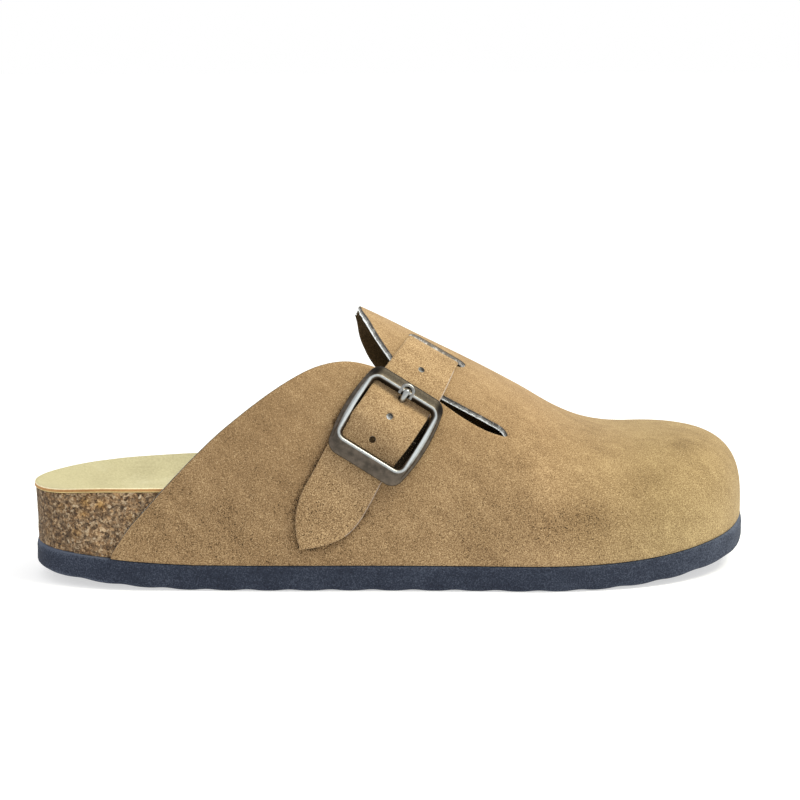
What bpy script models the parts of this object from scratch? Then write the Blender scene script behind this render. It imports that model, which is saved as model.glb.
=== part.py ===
"""Suede clog mule on a cork footbed, right foot: sole, footbed, insole, hollow upper, strap and pin buckle.

+X points to the toe, -Y to the outer (lateral) side and +Z up. The tables are in millimetres.
"""
import math
from collections import namedtuple

import bmesh
import bpy
import numpy as np

MM = 0.001

# Overall sizes
LENGTH = 272.0
SOLE_THICK = 9.4
SOLE_EDGE_ROUND = 1.6
GAP = 0.3
HEEL_LIFT = 4.6
HEEL_LIFT_FROM = -77.0
HEEL_LIFT_POWER = 1.35
TOE_LIFT = 8.5
TOE_LIFT_FROM = 48.0
TOE_LIFT_POWER = 2.4

# Tread: shallow grooves across the sole
GROOVE_PITCH = 15.0
GROOVE_FIRST = -118.0
GROOVE_LAST = 118.0
GROOVE_WIDTH = 3.2
GROOVE_DEPTH = 1.0
GROOVE_WALL = 0.6
GROOVE_CLEAR = 2.0
SOLE_STEPS = 33

# Suede and cork
SUEDE = 1.9
INSOLE_THICK = 1.5
SPINE_END = 92.0
SLIT_END_LATERAL = 37.3
SLIT_END_MEDIAL = 30.0
LATERAL_BACK = -107.4
MEDIAL_BACK = -93.0
FLAP_BACK = -13.0
UPPER_STATIONS = [
    -107.4, -105.0, -100.0, -93.0, -86.0, -78.0, -70.0, -62.0, -54.0, -46.0, -38.0, -30.0, -22.0, -17.0, -13.0, -10.5,
    -7.0, -3.0, 0.5, 4.0, 9.0, 15.0, 22.0, 30.0, 34.5, 37.3, 43.0, 50.0, 56.0, 63.0, 70.0, 78.0, 86.0, 92.0,
]
TOE_STEPS = 10
QUARTER_ROWS = 8
FLAP_ROWS = 6
BED_STEPS = 37
BED_COLUMNS = 13

# Strap and buckle
STRAP_WIDTH = 23.2
STRAP_THICK = 1.7
TIP_LENGTH = 24.0
TIP_POINT = 2.4
STRAP_COLUMNS = 5
ROUND_SIDES = 12
HOLE_SIZE = 2.4
HOLE_IN_USE = 4.4
SLOT_WIDTH = 8.2
SLOT_FRONT = -13.0
SLOT_BACK = 10.8
SLOT_TAPER = 1.5
TAPER_END = 12.0
TAPER_RUN = 30.0
BUCKLE_WIDTH = 28.6
BUCKLE_LENGTH = 36.4
BUCKLE_TURN = 5.0
BUCKLE_SHIFT = -0.87
OUTER_CORNER = 4.0
OUTER_BOW = 2.6
WINDOW_WIDTH = 24.7
INNER_CORNER = 2.4
INNER_BOW = 1.0
TOP_BAR = 5.4
BOTTOM_BAR = 6.9
FRAME_LOW = 2.6
FRAME_HIGH = 5.4
FRAME_BEVEL = 0.9
CENTRE_BAR = 1.6
BAR_HEIGHT = 2.1
PRONG = 1.7
PRONG_LOOP = 0.7
PRONG_SIDES = 10
NOTCH_CLEAR = 0.3

Plan = namedtuple("Plan", "station lateral medial")
PLAN = [
    Plan(0.000, 0.0, 0.0),
    Plan(0.020, 16.3, 16.0),
    Plan(0.060, 24.5, 25.0),
    Plan(0.120, 31.0, 32.0),
    Plan(0.200, 34.0, 34.0),
    Plan(0.320, 38.5, 34.5),
    Plan(0.450, 42.0, 37.0),
    Plan(0.580, 46.4, 43.0),
    Plan(0.680, 50.3, 48.3),
    Plan(0.760, 50.0, 50.3),
    Plan(0.840, 45.5, 49.0),
    Plan(0.910, 36.0, 43.5),
    Plan(0.960, 23.5, 35.0),
    Plan(0.990, 6.0, 23.0),
    Plan(1.000, -10.0, 10.0),
]

# The sole's wall from its underside up, and how much of a groove each step takes
Wall = namedtuple("Wall", "inset up cut")
SOLE_WALL = [
    Wall(SOLE_EDGE_ROUND + 1.4, 0.0, 1.0),
    Wall(SOLE_EDGE_ROUND * 0.35, 0.45, 0.8),
    Wall(0.0, SOLE_EDGE_ROUND, 0.5),
    Wall(0.0, SOLE_THICK - 0.6, 0.0),
    Wall(0.6, SOLE_THICK, 0.0),
]

Ridge = namedtuple("Ridge", "x height across fullness")
RIDGE = [
    Ridge(-136.0, 106.0, 1.0, 3.0),
    Ridge(-100.0, 108.0, 1.0, 3.0),
    Ridge(-65.0, 109.0, 2.0, 2.7),
    Ridge(-30.0, 105.5, 3.5, 2.35),
    Ridge(-13.0, 98.6, 4.0, 2.2),
    Ridge(10.0, 87.2, 4.5, 2.15),
    Ridge(33.0, 75.6, 5.0, 2.15),
    Ridge(48.0, 67.4, 5.5, 2.2),
    Ridge(63.0, 58.6, 6.0, 2.3),
    Ridge(71.0, 55.0, 6.5, 2.4),
    Ridge(79.0, 52.7, 7.0, 2.5),
    Ridge(86.0, 51.7, 7.0, 2.55),
    Ridge(92.0, 51.4, 7.0, 2.6),
    Ridge(136.0, 51.4, 7.0, 3.3),
]

Rim = namedtuple("Rim", "x height")
COLLAR_LATERAL = [
    Rim(-109.0, 10.0),
    Rim(-105.7, 15.6),
    Rim(-100.5, 23.2),
    Rim(-94.0, 30.6),
    Rim(-87.4, 38.0),
    Rim(-81.0, 44.9),
    Rim(-75.0, 51.0),
    Rim(-68.5, 57.2),
    Rim(-62.0, 62.6),
    Rim(-52.2, 70.0),
    Rim(-41.0, 77.0),
    Rim(-34.2, 80.2),
    Rim(-28.0, 81.9),
    Rim(-21.4, 82.4),
    Rim(-10.4, 80.0),
    Rim(2.0, 74.2),
    Rim(13.5, 67.8),
    Rim(20.4, 62.8),
    Rim(31.0, 56.9),
    Rim(37.3, 54.6),
]
COLLAR_MEDIAL = [
    Rim(-96.0, 9.8),
    Rim(-80.0, 26.0),
    Rim(-64.0, 42.5),
    Rim(-52.0, 50.5),
    Rim(-38.0, 58.5),
    Rim(-24.0, 64.5),
    Rim(-14.0, 66.5),
    Rim(-4.0, 64.5),
    Rim(12.0, 57.5),
    Rim(30.0, 48.5),
]
FLAP_LATERAL = [
    Rim(-13.0, 98.0),
    Rim(-11.0, 95.3),
    Rim(-9.0, 91.7),
    Rim(-3.4, 83.0),
    Rim(0.0, 78.2),
    Rim(3.0, 76.0),
    Rim(13.5, 70.0),
    Rim(20.4, 66.3),
    Rim(31.0, 60.6),
    Rim(35.5, 58.0),
    Rim(37.3, 56.4),
]
FLAP_MEDIAL = [
    Rim(-13.0, 95.0),
    Rim(-11.5, 87.8),
    Rim(-8.8, 80.4),
    Rim(-3.9, 72.0),
    Rim(-0.5, 67.0),
    Rim(3.0, 63.8),
    Rim(12.0, 59.8),
    Rim(30.0, 50.7),
]

# How far the foot of the suede and the foot of the cork stand in from the sole's outline
Edge = namedtuple("Edge", "x inset")
SUEDE_EDGE = [
    Edge(-136.0, 0.2),
    Edge(80.0, 0.2),
    Edge(90.0, 0.2),
    Edge(115.0, 0.6),
    Edge(128.0, 1.0),
    Edge(136.0, 0.6),
]
CORK_EDGE = [
    Edge(-136.0, 1.1),
    Edge(-122.0, 1.2),
    Edge(-114.5, 1.8),
    Edge(-109.2, 2.4),
    Edge(-104.0, 2.4),
    Edge(80.0, 2.4),
    Edge(90.0, 2.4),
    Edge(115.0, 2.8),
    Edge(136.0, 3.6),
]

Bed = namedtuple("Bed", "station lateral medial cup lean")
BED = [
    Bed(0.00, 33.7, 33.7, 0.0, -0.4),
    Bed(0.03, 34.2, 34.2, 4.0, -0.4),
    Bed(0.09, 35.6, 35.4, 9.0, -0.4),
    Bed(0.16, 37.0, 36.4, 11.0, 0.0),
    Bed(0.22, 36.5, 37.0, 11.0, 0.6),
    Bed(0.35, 32.5, 36.6, 9.0, 1.1),
    Bed(0.50, 27.5, 32.0, 5.5, 1.6),
    Bed(0.65, 24.5, 25.5, 3.0, 2.2),
    Bed(0.80, 24.0, 24.0, 2.5, 2.9),
    Bed(0.92, 26.0, 26.0, 2.0, 2.0),
    Bed(1.00, 29.0, 29.0, 0.0, 1.0),
]

# The strap's middle line from its hidden root to its tip, as places on the last
Path = namedtuple("Path", "x around")
STRAP_PATH = [
    Path(33.0, 50.0),
    Path(28.5, 32.0),
    Path(23.0, 14.0),
    Path(18.5, 1.0),
    Path(15.0, -8.0),
    Path(11.8, -17.5),
    Path(8.0, -27.0),
    Path(3.3, -37.0),
    Path(-2.6, -47.4),
    Path(-8.6, -57.9),
    Path(-14.0, -66.4),
    Path(-18.7, -74.2),
    Path(-23.6, -84.6),
    Path(-28.9, -94.9),
    Path(-33.8, -103.0),
    Path(-39.0, -111.3),
]
SLOT_ROW = 4
BUCKLE_ROW = 9

# How high the strap's underside sits over the last, by the distance down from the middle of the buckle
Rise = namedtuple("Rise", "down lift")
STRAP_RISE = [
    Rise(-70.0, -4.1),
    Rise(-48.9, -4.1),
    Rise(-41.3, 0.35),
    Rise(-13.2, 0.35),
    Rise(-10.4, 2.5),
    Rise(-7.8, 4.1),
    Rise(0.0, 4.1),
    Rise(3.0, 3.6),
    Rise(9.0, 0.6),
    Rise(12.0, 0.35),
    Rise(60.0, 0.35),
]
HOLES_UP = (25.6, 3.8, -6.5)
HOLE_IN_USE_UP = 10.4


def remove_everything():
    for item in list(bpy.data.objects):
        bpy.data.objects.remove(item, do_unlink=True)
    for group in list(bpy.data.collections):
        bpy.data.collections.remove(group)


def smooth(at, value, where):
    """Hermite interpolation of a short table, level with its own neighbours at each row."""
    at = np.asarray(at, float)
    value = np.asarray(value, float)
    step = np.diff(at)
    rise = np.diff(value) / step
    slope = np.empty_like(value)
    slope[1:-1] = (rise[:-1] * step[1:] + rise[1:] * step[:-1]) / (step[:-1] + step[1:])
    slope[0] = rise[0]
    slope[-1] = rise[-1]
    where = np.clip(np.asarray(where, float), at[0], at[-1])
    i = np.clip(np.searchsorted(at, where, side="right") - 1, 0, len(step) - 1)
    s = (where - at[i]) / step[i]
    held = value[i] * (1 + 2 * s) * (1 - s) ** 2 + value[i + 1] * s ** 2 * (3 - 2 * s)
    return held + step[i] * (slope[i] * s * (1 - s) ** 2 + slope[i + 1] * s ** 2 * (s - 1))


def table(rows, key, column, where):
    return smooth([getattr(row, key) for row in rows], [getattr(row, column) for row in rows], where)


def turn_of(x):
    return np.arccos(np.clip(-np.asarray(x, float) / (LENGTH / 2), -1, 1))


def along_plan(rows, column, turn):
    """A table over stations, read over the turn so that the ends come out round."""
    at = np.arccos(1 - 2 * np.array([row.station for row in rows]))
    return smooth(at, [getattr(row, column) for row in rows], turn)


def outline(turn, side, inset=0.0):
    """The plan outline moved in by an inset along its own normal; side is -1 lateral and +1 medial."""
    column = "medial" if side > 0 else "lateral"
    turn = np.asarray(turn, float)

    def at(angle):
        return -LENGTH / 2 * np.cos(angle), side * along_plan(PLAN, column, angle)

    before_x, before_y = at(np.clip(turn - 0.002, 0, math.pi))
    after_x, after_y = at(np.clip(turn + 0.002, 0, math.pi))
    run_x = after_x - before_x
    run_y = after_y - before_y
    size = np.hypot(run_x, run_y)
    x, y = at(turn)
    return x + side * inset * run_y / size, y - side * inset * run_x / size


def lift(x):
    """Height of the sole's underside: level in the middle, rising to the heel and to the toe."""
    half = LENGTH / 2
    heel = np.clip((HEEL_LIFT_FROM - x) / (HEEL_LIFT_FROM + half), 0, 1.05) ** HEEL_LIFT_POWER
    toe = np.clip((x - TOE_LIFT_FROM) / (half - TOE_LIFT_FROM), 0, 1.05) ** TOE_LIFT_POWER
    return HEEL_LIFT * heel + TOE_LIFT * toe


def section(turn, side):
    """One line of the last from the sole up to the ridge: its points, and the length run up to each."""
    base_x, base_y = outline(turn, side, table(SUEDE_EDGE, "x", "inset", -LENGTH / 2 * math.cos(turn)))
    base_z = SOLE_THICK + GAP + lift(base_x)
    spine_x = min(float(base_x), SPINE_END)
    spine_y = float(table(RIDGE, "x", "across", spine_x))
    spine_z = float(table(RIDGE, "x", "height", spine_x))
    power = 2 / float(table(RIDGE, "x", "fullness", base_x))
    step = (1 - np.cos(np.linspace(0, math.pi, 90))) / 2 * math.pi / 2
    out = np.cos(step) ** power
    out[-1] = 0.0
    up = np.sin(step) ** power
    points = np.stack(
        [
            spine_x + (base_x - spine_x) * out,
            spine_y + (base_y - spine_y) * out,
            base_z + (spine_z - base_z) * up,
        ],
        -1,
    )
    run = np.concatenate([[0], np.cumsum(np.linalg.norm(np.diff(points, axis=0), axis=1))])
    return points, run


def pick(points, run, where):
    return np.stack([np.interp(where, run, points[:, k]) for k in range(3)], -1)


def run_at_height(points, run, height):
    return float(np.interp(height, points[:, 2], run))


def last_at(x, around):
    """A point of the last at x, a distance around from the ridge; negative is lateral."""
    points, run = section(float(turn_of(x)), -1 if around < 0 else 1)
    return pick(points, run, np.array([run[-1] - abs(around)]))[0]


def last_frame(x, around):
    """Point, outward normal and the two tangents of the last."""
    along = (last_at(x + 0.6, around) - last_at(x - 0.6, around)) / 1.2
    across = (last_at(x, around + 0.6) - last_at(x, around - 0.6)) / 1.2
    normal = np.cross(across, along)
    normal = normal / np.linalg.norm(normal)
    if normal[2] < 0:
        normal = -normal
    return last_at(x, around), normal, along, across


def new_object(name, points, faces, group, look=None):
    mesh = bpy.data.meshes.new(name)
    mesh.from_pydata([tuple(MM * float(c) for c in p) for p in points], [], faces)
    shape = bmesh.new()
    shape.from_mesh(mesh)
    bmesh.ops.remove_doubles(shape, verts=shape.verts, dist=2e-5)
    bmesh.ops.dissolve_degenerate(shape, edges=shape.edges, dist=1e-6)
    bmesh.ops.recalc_face_normals(shape, faces=shape.faces)
    shape.to_mesh(mesh)
    shape.free()
    item = bpy.data.objects.new(name, mesh)
    group.objects.link(item)
    if look:
        mesh.materials.append(look)
    return item


def look(name, colour, roughness, metallic=0.0):
    made = bpy.data.materials.new(name)
    made.use_nodes = True
    shader = made.node_tree.nodes["Principled BSDF"]
    shader.inputs["Base Color"].default_value = (*colour, 1)
    shader.inputs["Roughness"].default_value = roughness
    shader.inputs["Metallic"].default_value = metallic
    made.diffuse_color = (*colour, 1)
    return made


def grid_faces(rows, columns, start=0):
    faces = []
    for i in range(rows - 1):
        for j in range(columns - 1):
            a = start + i * columns + j
            faces.append((a, a + 1, a + columns + 1, a + columns))
    return faces


def tread_height(x):
    """Depth of the tread grooves over the underside, with sloped walls."""
    depth = np.zeros_like(x)
    middle = GROOVE_FIRST
    while middle <= GROOVE_LAST:
        away = np.abs(x - middle)
        depth = np.maximum(depth, GROOVE_DEPTH * np.clip((GROOVE_WIDTH / 2 - away) / GROOVE_WALL, 0, 1))
        middle += GROOVE_PITCH
    return depth


def sole_turns():
    """Stations of the sole: an even set, and four at each groove."""
    marks = list(np.linspace(0.0, math.pi, SOLE_STEPS))
    middle = GROOVE_FIRST
    while middle <= GROOVE_LAST:
        reach = GROOVE_WIDTH / 2
        inner = reach - GROOVE_WALL
        band = turn_of([middle - reach - GROOVE_CLEAR, middle + reach + GROOVE_CLEAR])
        marks = [m for m in marks if not band[0] < m < band[1] or m in (0.0, math.pi)]
        marks += list(turn_of([middle - reach, middle - inner, middle + inner, middle + reach]))
        middle += GROOVE_PITCH
    return np.array(sorted(marks))


def loft_loops(loops, count):
    """Faces between closed loops stacked one on the next."""
    faces = []
    for k in range(len(loops) - 1):
        for i in range(count):
            j = (i + 1) % count
            faces.append((k * count + i, k * count + j, (k + 1) * count + j, (k + 1) * count + i))
    return faces


def rod_faces(loops, sides):
    """Faces of a closed rod: its loops joined, and both ends filled."""
    last = loops * sides
    return loft_loops(range(loops), sides) + [tuple(range(sides)), tuple(range(last - sides, last))]


def ring(turns, inset, height):
    """A closed loop round the plan: the lateral side heel to toe, then the medial side back."""
    sides = []
    for side in (-1, 1):
        x, y = outline(turns, side, inset)
        sides.append(np.stack([x, y, height(x)], -1))
    return np.concatenate([sides[0], sides[1][-2:0:-1]])


def lid_faces(start, count):
    """Strips across a loop from ring(), from its lateral to its medial half."""
    half = count // 2
    faces = []
    for i in range(half):
        a = start + i
        b = start + i + 1
        c = start + (count - i - 1) % count
        d = start + (count - i) % count
        faces.append(tuple(dict.fromkeys((a, b, c, d))))
    return faces


def make_outsole(group, material):
    turns = sole_turns()
    loops = []
    for step in SOLE_WALL:
        loops.append(ring(turns, step.inset, lambda x: lift(x) + step.up + step.cut * tread_height(x)))
    count = len(loops[0])
    faces = loft_loops(loops, count) + lid_faces(0, count) + lid_faces((len(loops) - 1) * count, count)
    return new_object("outsole", np.concatenate(loops), faces, group, material)


def bed_sides(turns, share):
    """The footbed's wall at a share of its height, lateral and medial."""
    lean = along_plan(BED, "lean", turns)
    foot = table(CORK_EDGE, "x", "inset", -LENGTH / 2 * np.cos(turns))
    sides = []
    for side in (-1, 1):
        x, y = outline(turns, side, foot + lean * share ** 2)
        low = SOLE_THICK + GAP + lift(x)
        top = along_plan(BED, "medial" if side > 0 else "lateral", turns)
        sides.append(np.stack([x, y, low + (top - low) * share], -1))
    return sides


def bed_grid(turns, raised):
    """The cupped top of the footbed, raised by a height: rows of points from lateral to medial."""
    lateral, medial = bed_sides(turns, 1.0)
    cup = along_plan(BED, "cup", turns)
    across = -np.cos(np.linspace(0, math.pi, BED_COLUMNS))
    grid = []
    for c in across:
        share = (c + 1) / 2
        points = lateral * (1 - share) + medial * share
        points[:, 2] += raised - cup * (1 - abs(c) ** 2.6)
        grid.append(points)
    return np.stack(grid, 1)


def make_footbed(group, material):
    turns = np.linspace(0.0, math.pi, BED_STEPS)
    grid = bed_grid(turns, 0.0)
    points = list(grid.reshape(-1, 3))
    faces = grid_faces(BED_STEPS, BED_COLUMNS)
    tops = [grid[:, 0], grid[:, -1]]
    loops = [np.concatenate([tops[0], tops[1][-2:0:-1]])]
    for share in (0.6, 0.0):
        sides = bed_sides(turns, share)
        loops.append(np.concatenate([sides[0], sides[1][-2:0:-1]]))
    count = len(loops[0])
    start = len(points)
    points += list(np.concatenate(loops))
    faces += [tuple(start + v for v in face) for face in loft_loops(loops, count)]
    faces += lid_faces(start + 2 * count, count)
    return new_object("footbed", points, faces, group, material)


def make_insole(group, material):
    turns = np.linspace(0.0, math.pi, BED_STEPS)
    low = bed_grid(turns, GAP)
    high = bed_grid(turns, GAP + INSOLE_THICK)
    points = list(low.reshape(-1, 3)) + list(high.reshape(-1, 3))
    faces = grid_faces(BED_STEPS, BED_COLUMNS)
    faces += grid_faces(BED_STEPS, BED_COLUMNS, BED_STEPS * BED_COLUMNS)
    loops = []
    for grid in (low, high):
        loops.append(np.concatenate([grid[:, 0], grid[:, -1][-2:0:-1]]))
    start = len(points)
    points += list(np.concatenate(loops))
    faces += [tuple(start + v for v in face) for face in loft_loops(loops, len(loops[0]))]
    return new_object("insole", points, faces, group, material)


def upper_rows(turn, side):
    """The points of one station: the quarter's rows from the sole up, then the flap's rows to the ridge."""
    points, run = section(turn, side)
    x = float(points[0, 0])
    collar, flap = (COLLAR_MEDIAL, FLAP_MEDIAL) if side > 0 else (COLLAR_LATERAL, FLAP_LATERAL)
    end = collar[-1].x
    even = QUARTER_ROWS / (QUARTER_ROWS + FLAP_ROWS + 0.5) * run[-1]
    low = run_at_height(points, run, float(table(collar, "x", "height", x)))
    high = run_at_height(points, run, float(table(flap, "x", "height", x)))
    if x > end:
        shut, run_end = section(float(turn_of(end)), side)
        part = min((x - end) / (SPINE_END - end), 1.0)
        share_low = run_at_height(shut, run_end, collar[-1].height) / run_end[-1]
        share_high = run_at_height(shut, run_end, flap[-1].height) / run_end[-1]
        low = share_low * run[-1] * (1 - part) + even * part
        high = share_high * run[-1] * (1 - part) + (even + 0.04 * run[-1]) * part
    quarter = np.linspace(0, low, QUARTER_ROWS + 1)
    top = np.linspace(min(high, run[-1]), run[-1], FLAP_ROWS + 1)
    return pick(points, run, np.concatenate([quarter, top]))


def make_upper(group, material):
    fan = np.linspace(float(turn_of(SPINE_END)), math.pi, TOE_STEPS + 1)[1:]
    turns = list(turn_of(UPPER_STATIONS)) + list(fan)
    columns = QUARTER_ROWS + FLAP_ROWS + 2
    points = []
    faces = []
    for side in (-1, 1):
        back = MEDIAL_BACK if side > 0 else LATERAL_BACK
        slit_end = SLIT_END_MEDIAL if side > 0 else SLIT_END_LATERAL
        start = len(points)
        for turn in turns:
            points += list(upper_rows(float(turn), side))
        for i in range(len(turns) - 1):
            x = -LENGTH / 2 * math.cos(turns[i])
            for j in range(columns - 1):
                if j < QUARTER_ROWS:
                    kept = x > back - 0.5
                elif j == QUARTER_ROWS:
                    kept = x > slit_end - 0.5
                else:
                    kept = x > FLAP_BACK - 0.5
                if kept:
                    a = start + i * columns + j
                    faces.append((a, a + 1, a + columns + 1, a + columns))
    used = sorted({v for face in faces for v in face})
    place = {v: k for k, v in enumerate(used)}
    faces = [tuple(place[v] for v in face) for face in faces]
    item = new_object("upper", [points[v] for v in used], faces, group, material)
    wall = item.modifiers.new("wall", "SOLIDIFY")
    wall.thickness = SUEDE * MM
    wall.offset = -1.0
    wall.use_even_offset = True
    item.modifiers.new("flat faces", "TRIANGULATE")
    return item


Line = namedtuple("Line", "run x around slot buckle")
Spot = namedtuple("Spot", "place normal down sideways step x around rise")


def strap_line():
    """The strap's middle line: length run, place on the last, and where the slot and the buckle come."""
    mark = np.linspace(0, 1, len(STRAP_PATH))
    fine = np.linspace(0, 1, 241)
    line_x = smooth(mark, [row.x for row in STRAP_PATH], fine)
    line_round = smooth(mark, [row.around for row in STRAP_PATH], fine)
    spots = np.array([last_at(x, r) for x, r in zip(line_x, line_round)])
    run = np.concatenate([[0], np.cumsum(np.linalg.norm(np.diff(spots, axis=0), axis=1))])
    slot = float(np.interp(mark[SLOT_ROW], fine, run))
    buckle = float(np.interp(mark[BUCKLE_ROW], fine, run))
    return Line(run, line_x, line_round, slot, buckle)


def strap_spot(line, goal):
    """The strap's own axes at a length run down its middle line."""
    x, ahead_x, back_x = np.interp([goal, goal + 0.8, goal - 0.8], line.run, line.x)
    around, ahead_round, back_round = np.interp([goal, goal + 0.8, goal - 0.8], line.run, line.around)
    place, normal, along, across = last_frame(x, around)
    down = along * (ahead_x - back_x) + across * (ahead_round - back_round)
    down = down / np.linalg.norm(down)
    sideways = np.cross(down, normal)
    step = np.linalg.lstsq(np.stack([along, across], -1), sideways, rcond=None)[0]
    rise = np.interp(goal - line.buckle, [row.down for row in STRAP_RISE], [row.lift for row in STRAP_RISE])
    return Spot(place, normal, down, sideways, step, x, around, float(rise))


def beside(spot, reach):
    """The point of the last beside a spot of the strap, and the normal there."""
    here, normal, _, _ = last_frame(spot.x + spot.step[0] * reach, spot.around + spot.step[1] * reach)
    return here, normal


def half_width(line, at):
    """Half width of the strap at a length down it: a little narrower at the slot, a pointed arch at the tip."""
    left = line.run[-1] - at
    if left < TIP_LENGTH:
        return STRAP_WIDTH / 2 * max(1 - (1 - left / TIP_LENGTH) ** TIP_POINT, 0.08)
    share = min(max((line.buckle - TAPER_END - at) / TAPER_RUN, 0.0), 1.0)
    return STRAP_WIDTH / 2 - SLOT_TAPER * share * share * (3 - 2 * share)


Stretch = namedtuple("Stretch", "first last count")


def make_strap(group, cutters, material):
    line = strap_line()
    total = line.run[-1]
    marks = []
    for stretch in (
        Stretch(0.0, line.slot - 6.0, 8),
        Stretch(line.slot - 2.0, line.slot + 9.0, 6),
        Stretch(line.slot + 16.0, line.buckle - 15.0, 5),
        Stretch(line.buckle - 13.0, line.buckle + 13.0, 14),
        Stretch(line.buckle + 17.0, total - TIP_LENGTH, 4),
        Stretch(total - TIP_LENGTH * 7 / 8, total, 8),
    ):
        marks += list(np.linspace(stretch.first, stretch.last, stretch.count))
    columns = STRAP_COLUMNS
    low = []
    high = []
    for at in marks:
        spot = strap_spot(line, at)
        half = half_width(line, at)
        for c in np.linspace(-1, 1, columns):
            here, upward = beside(spot, c * half)
            low.append(here + upward * spot.rise)
            high.append(here + upward * (spot.rise + STRAP_THICK))
    size = len(low)
    rows = len(marks)
    faces = grid_faces(rows, columns) + grid_faces(rows, columns, size)
    border = [i * columns for i in range(rows)] + [(rows - 1) * columns + j for j in range(1, columns)]
    border += [i * columns + columns - 1 for i in range(rows - 2, -1, -1)]
    border += list(range(columns - 2, 0, -1))
    for k in range(len(border)):
        a = border[k]
        b = border[(k + 1) % len(border)]
        faces.append((a, b, b + size, a + size))
    item = new_object("instep_strap", low + high, faces, group, material)
    for up_strap in HOLES_UP + (HOLE_IN_USE_UP,):
        spot = strap_spot(line, line.buckle - up_strap)
        radius = HOLE_IN_USE / 2 if up_strap == HOLE_IN_USE_UP else HOLE_SIZE / 2
        middle = spot.place + spot.normal * (spot.rise + STRAP_THICK / 2)
        add_cutter(item, "strap_hole", middle, spot.normal, radius, 5 * STRAP_THICK, cutters)
    return item


def add_cutter(item, name, middle, axis, radius, depth, cutters):
    """Cuts a round hole along an axis."""
    side = np.cross(axis, [0.3, 0.9, 0.2])
    side = side / np.linalg.norm(side)
    other = np.cross(axis, side)
    loops = []
    for end in (-depth / 2, depth / 2):
        for k in range(ROUND_SIDES):
            angle = 2 * math.pi * k / ROUND_SIDES
            loops.append(middle + axis * end + radius * (math.cos(angle) * side + math.sin(angle) * other))
    cut_with(item, new_object(name, loops, rod_faces(2, ROUND_SIDES), cutters))


def cut_with(item, cutter):
    cutter.modifiers.new("flat faces", "TRIANGULATE")
    cutter.hide_render = True
    cutter.display_type = "WIRE"
    cut = item.modifiers.new("cut " + cutter.name, "BOOLEAN")
    cut.operation = "DIFFERENCE"
    cut.solver = "EXACT"
    cut.object = cutter


def cut_slot(upper, cutters):
    """The slot in the flap that lets the strap out."""
    line = strap_line()
    below = -7.0
    above = 5.0
    count = 7
    loops = []
    for reach in np.linspace(SLOT_FRONT, SLOT_BACK, count):
        for along, deep in ((0.0, below), (SLOT_WIDTH, below), (SLOT_WIDTH, above), (0.0, above)):
            here, upward = beside(strap_spot(line, line.slot + along), reach)
            loops.append(here + upward * deep)
    cut_with(upper, new_object("strap_slot", loops, rod_faces(count, 4), cutters))


def rounded_loop(half_w, low_y, high_y, corner, bow, per_corner=6, per_side=4):
    """A rounded rectangle with bowed sides, from the lower right corner round."""
    middles = [
        (half_w - corner, low_y + corner, -90),
        (half_w - corner, high_y - corner, 0),
        (corner - half_w, high_y - corner, 90),
        (corner - half_w, low_y + corner, 180),
    ]
    corners = []
    for x, y, first in middles:
        for k in range(per_corner):
            angle = math.radians(first + 90 * k / (per_corner - 1))
            corners.append((x + corner * math.cos(angle), y + corner * math.sin(angle)))
    points = []
    for i in range(len(corners)):
        points.append(corners[i])
        if i % per_corner == per_corner - 1 and i // per_corner in (0, 2):
            after = corners[i + 1]
            for k in range(1, per_side):
                points.append(tuple(np.array(corners[i]) + (np.array(after) - corners[i]) * k / per_side))
    points = np.array(points)
    middle = (low_y + high_y) / 2
    swell = bow * np.clip(1 - ((points[:, 1] - middle) / (high_y - middle)) ** 2, 0, 1)
    points[:, 0] += np.sign(points[:, 0]) * swell * np.minimum(np.abs(points[:, 0]) / (half_w - corner), 1)
    return points


def to_world(local):
    """From the buckle's own axes: across, up the strap, and out from the shoe."""
    line = strap_line()
    spot = strap_spot(line, line.buckle)
    local = np.asarray(local, float)
    turn = math.radians(BUCKLE_TURN)
    across = local[:, :1] * math.cos(turn) + local[:, 1:2] * math.sin(turn) + BUCKLE_SHIFT
    up = local[:, 1:2] * math.cos(turn) - local[:, :1] * math.sin(turn)
    return spot.place + across * spot.sideways - up * spot.down + local[:, 2:] * spot.normal


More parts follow.
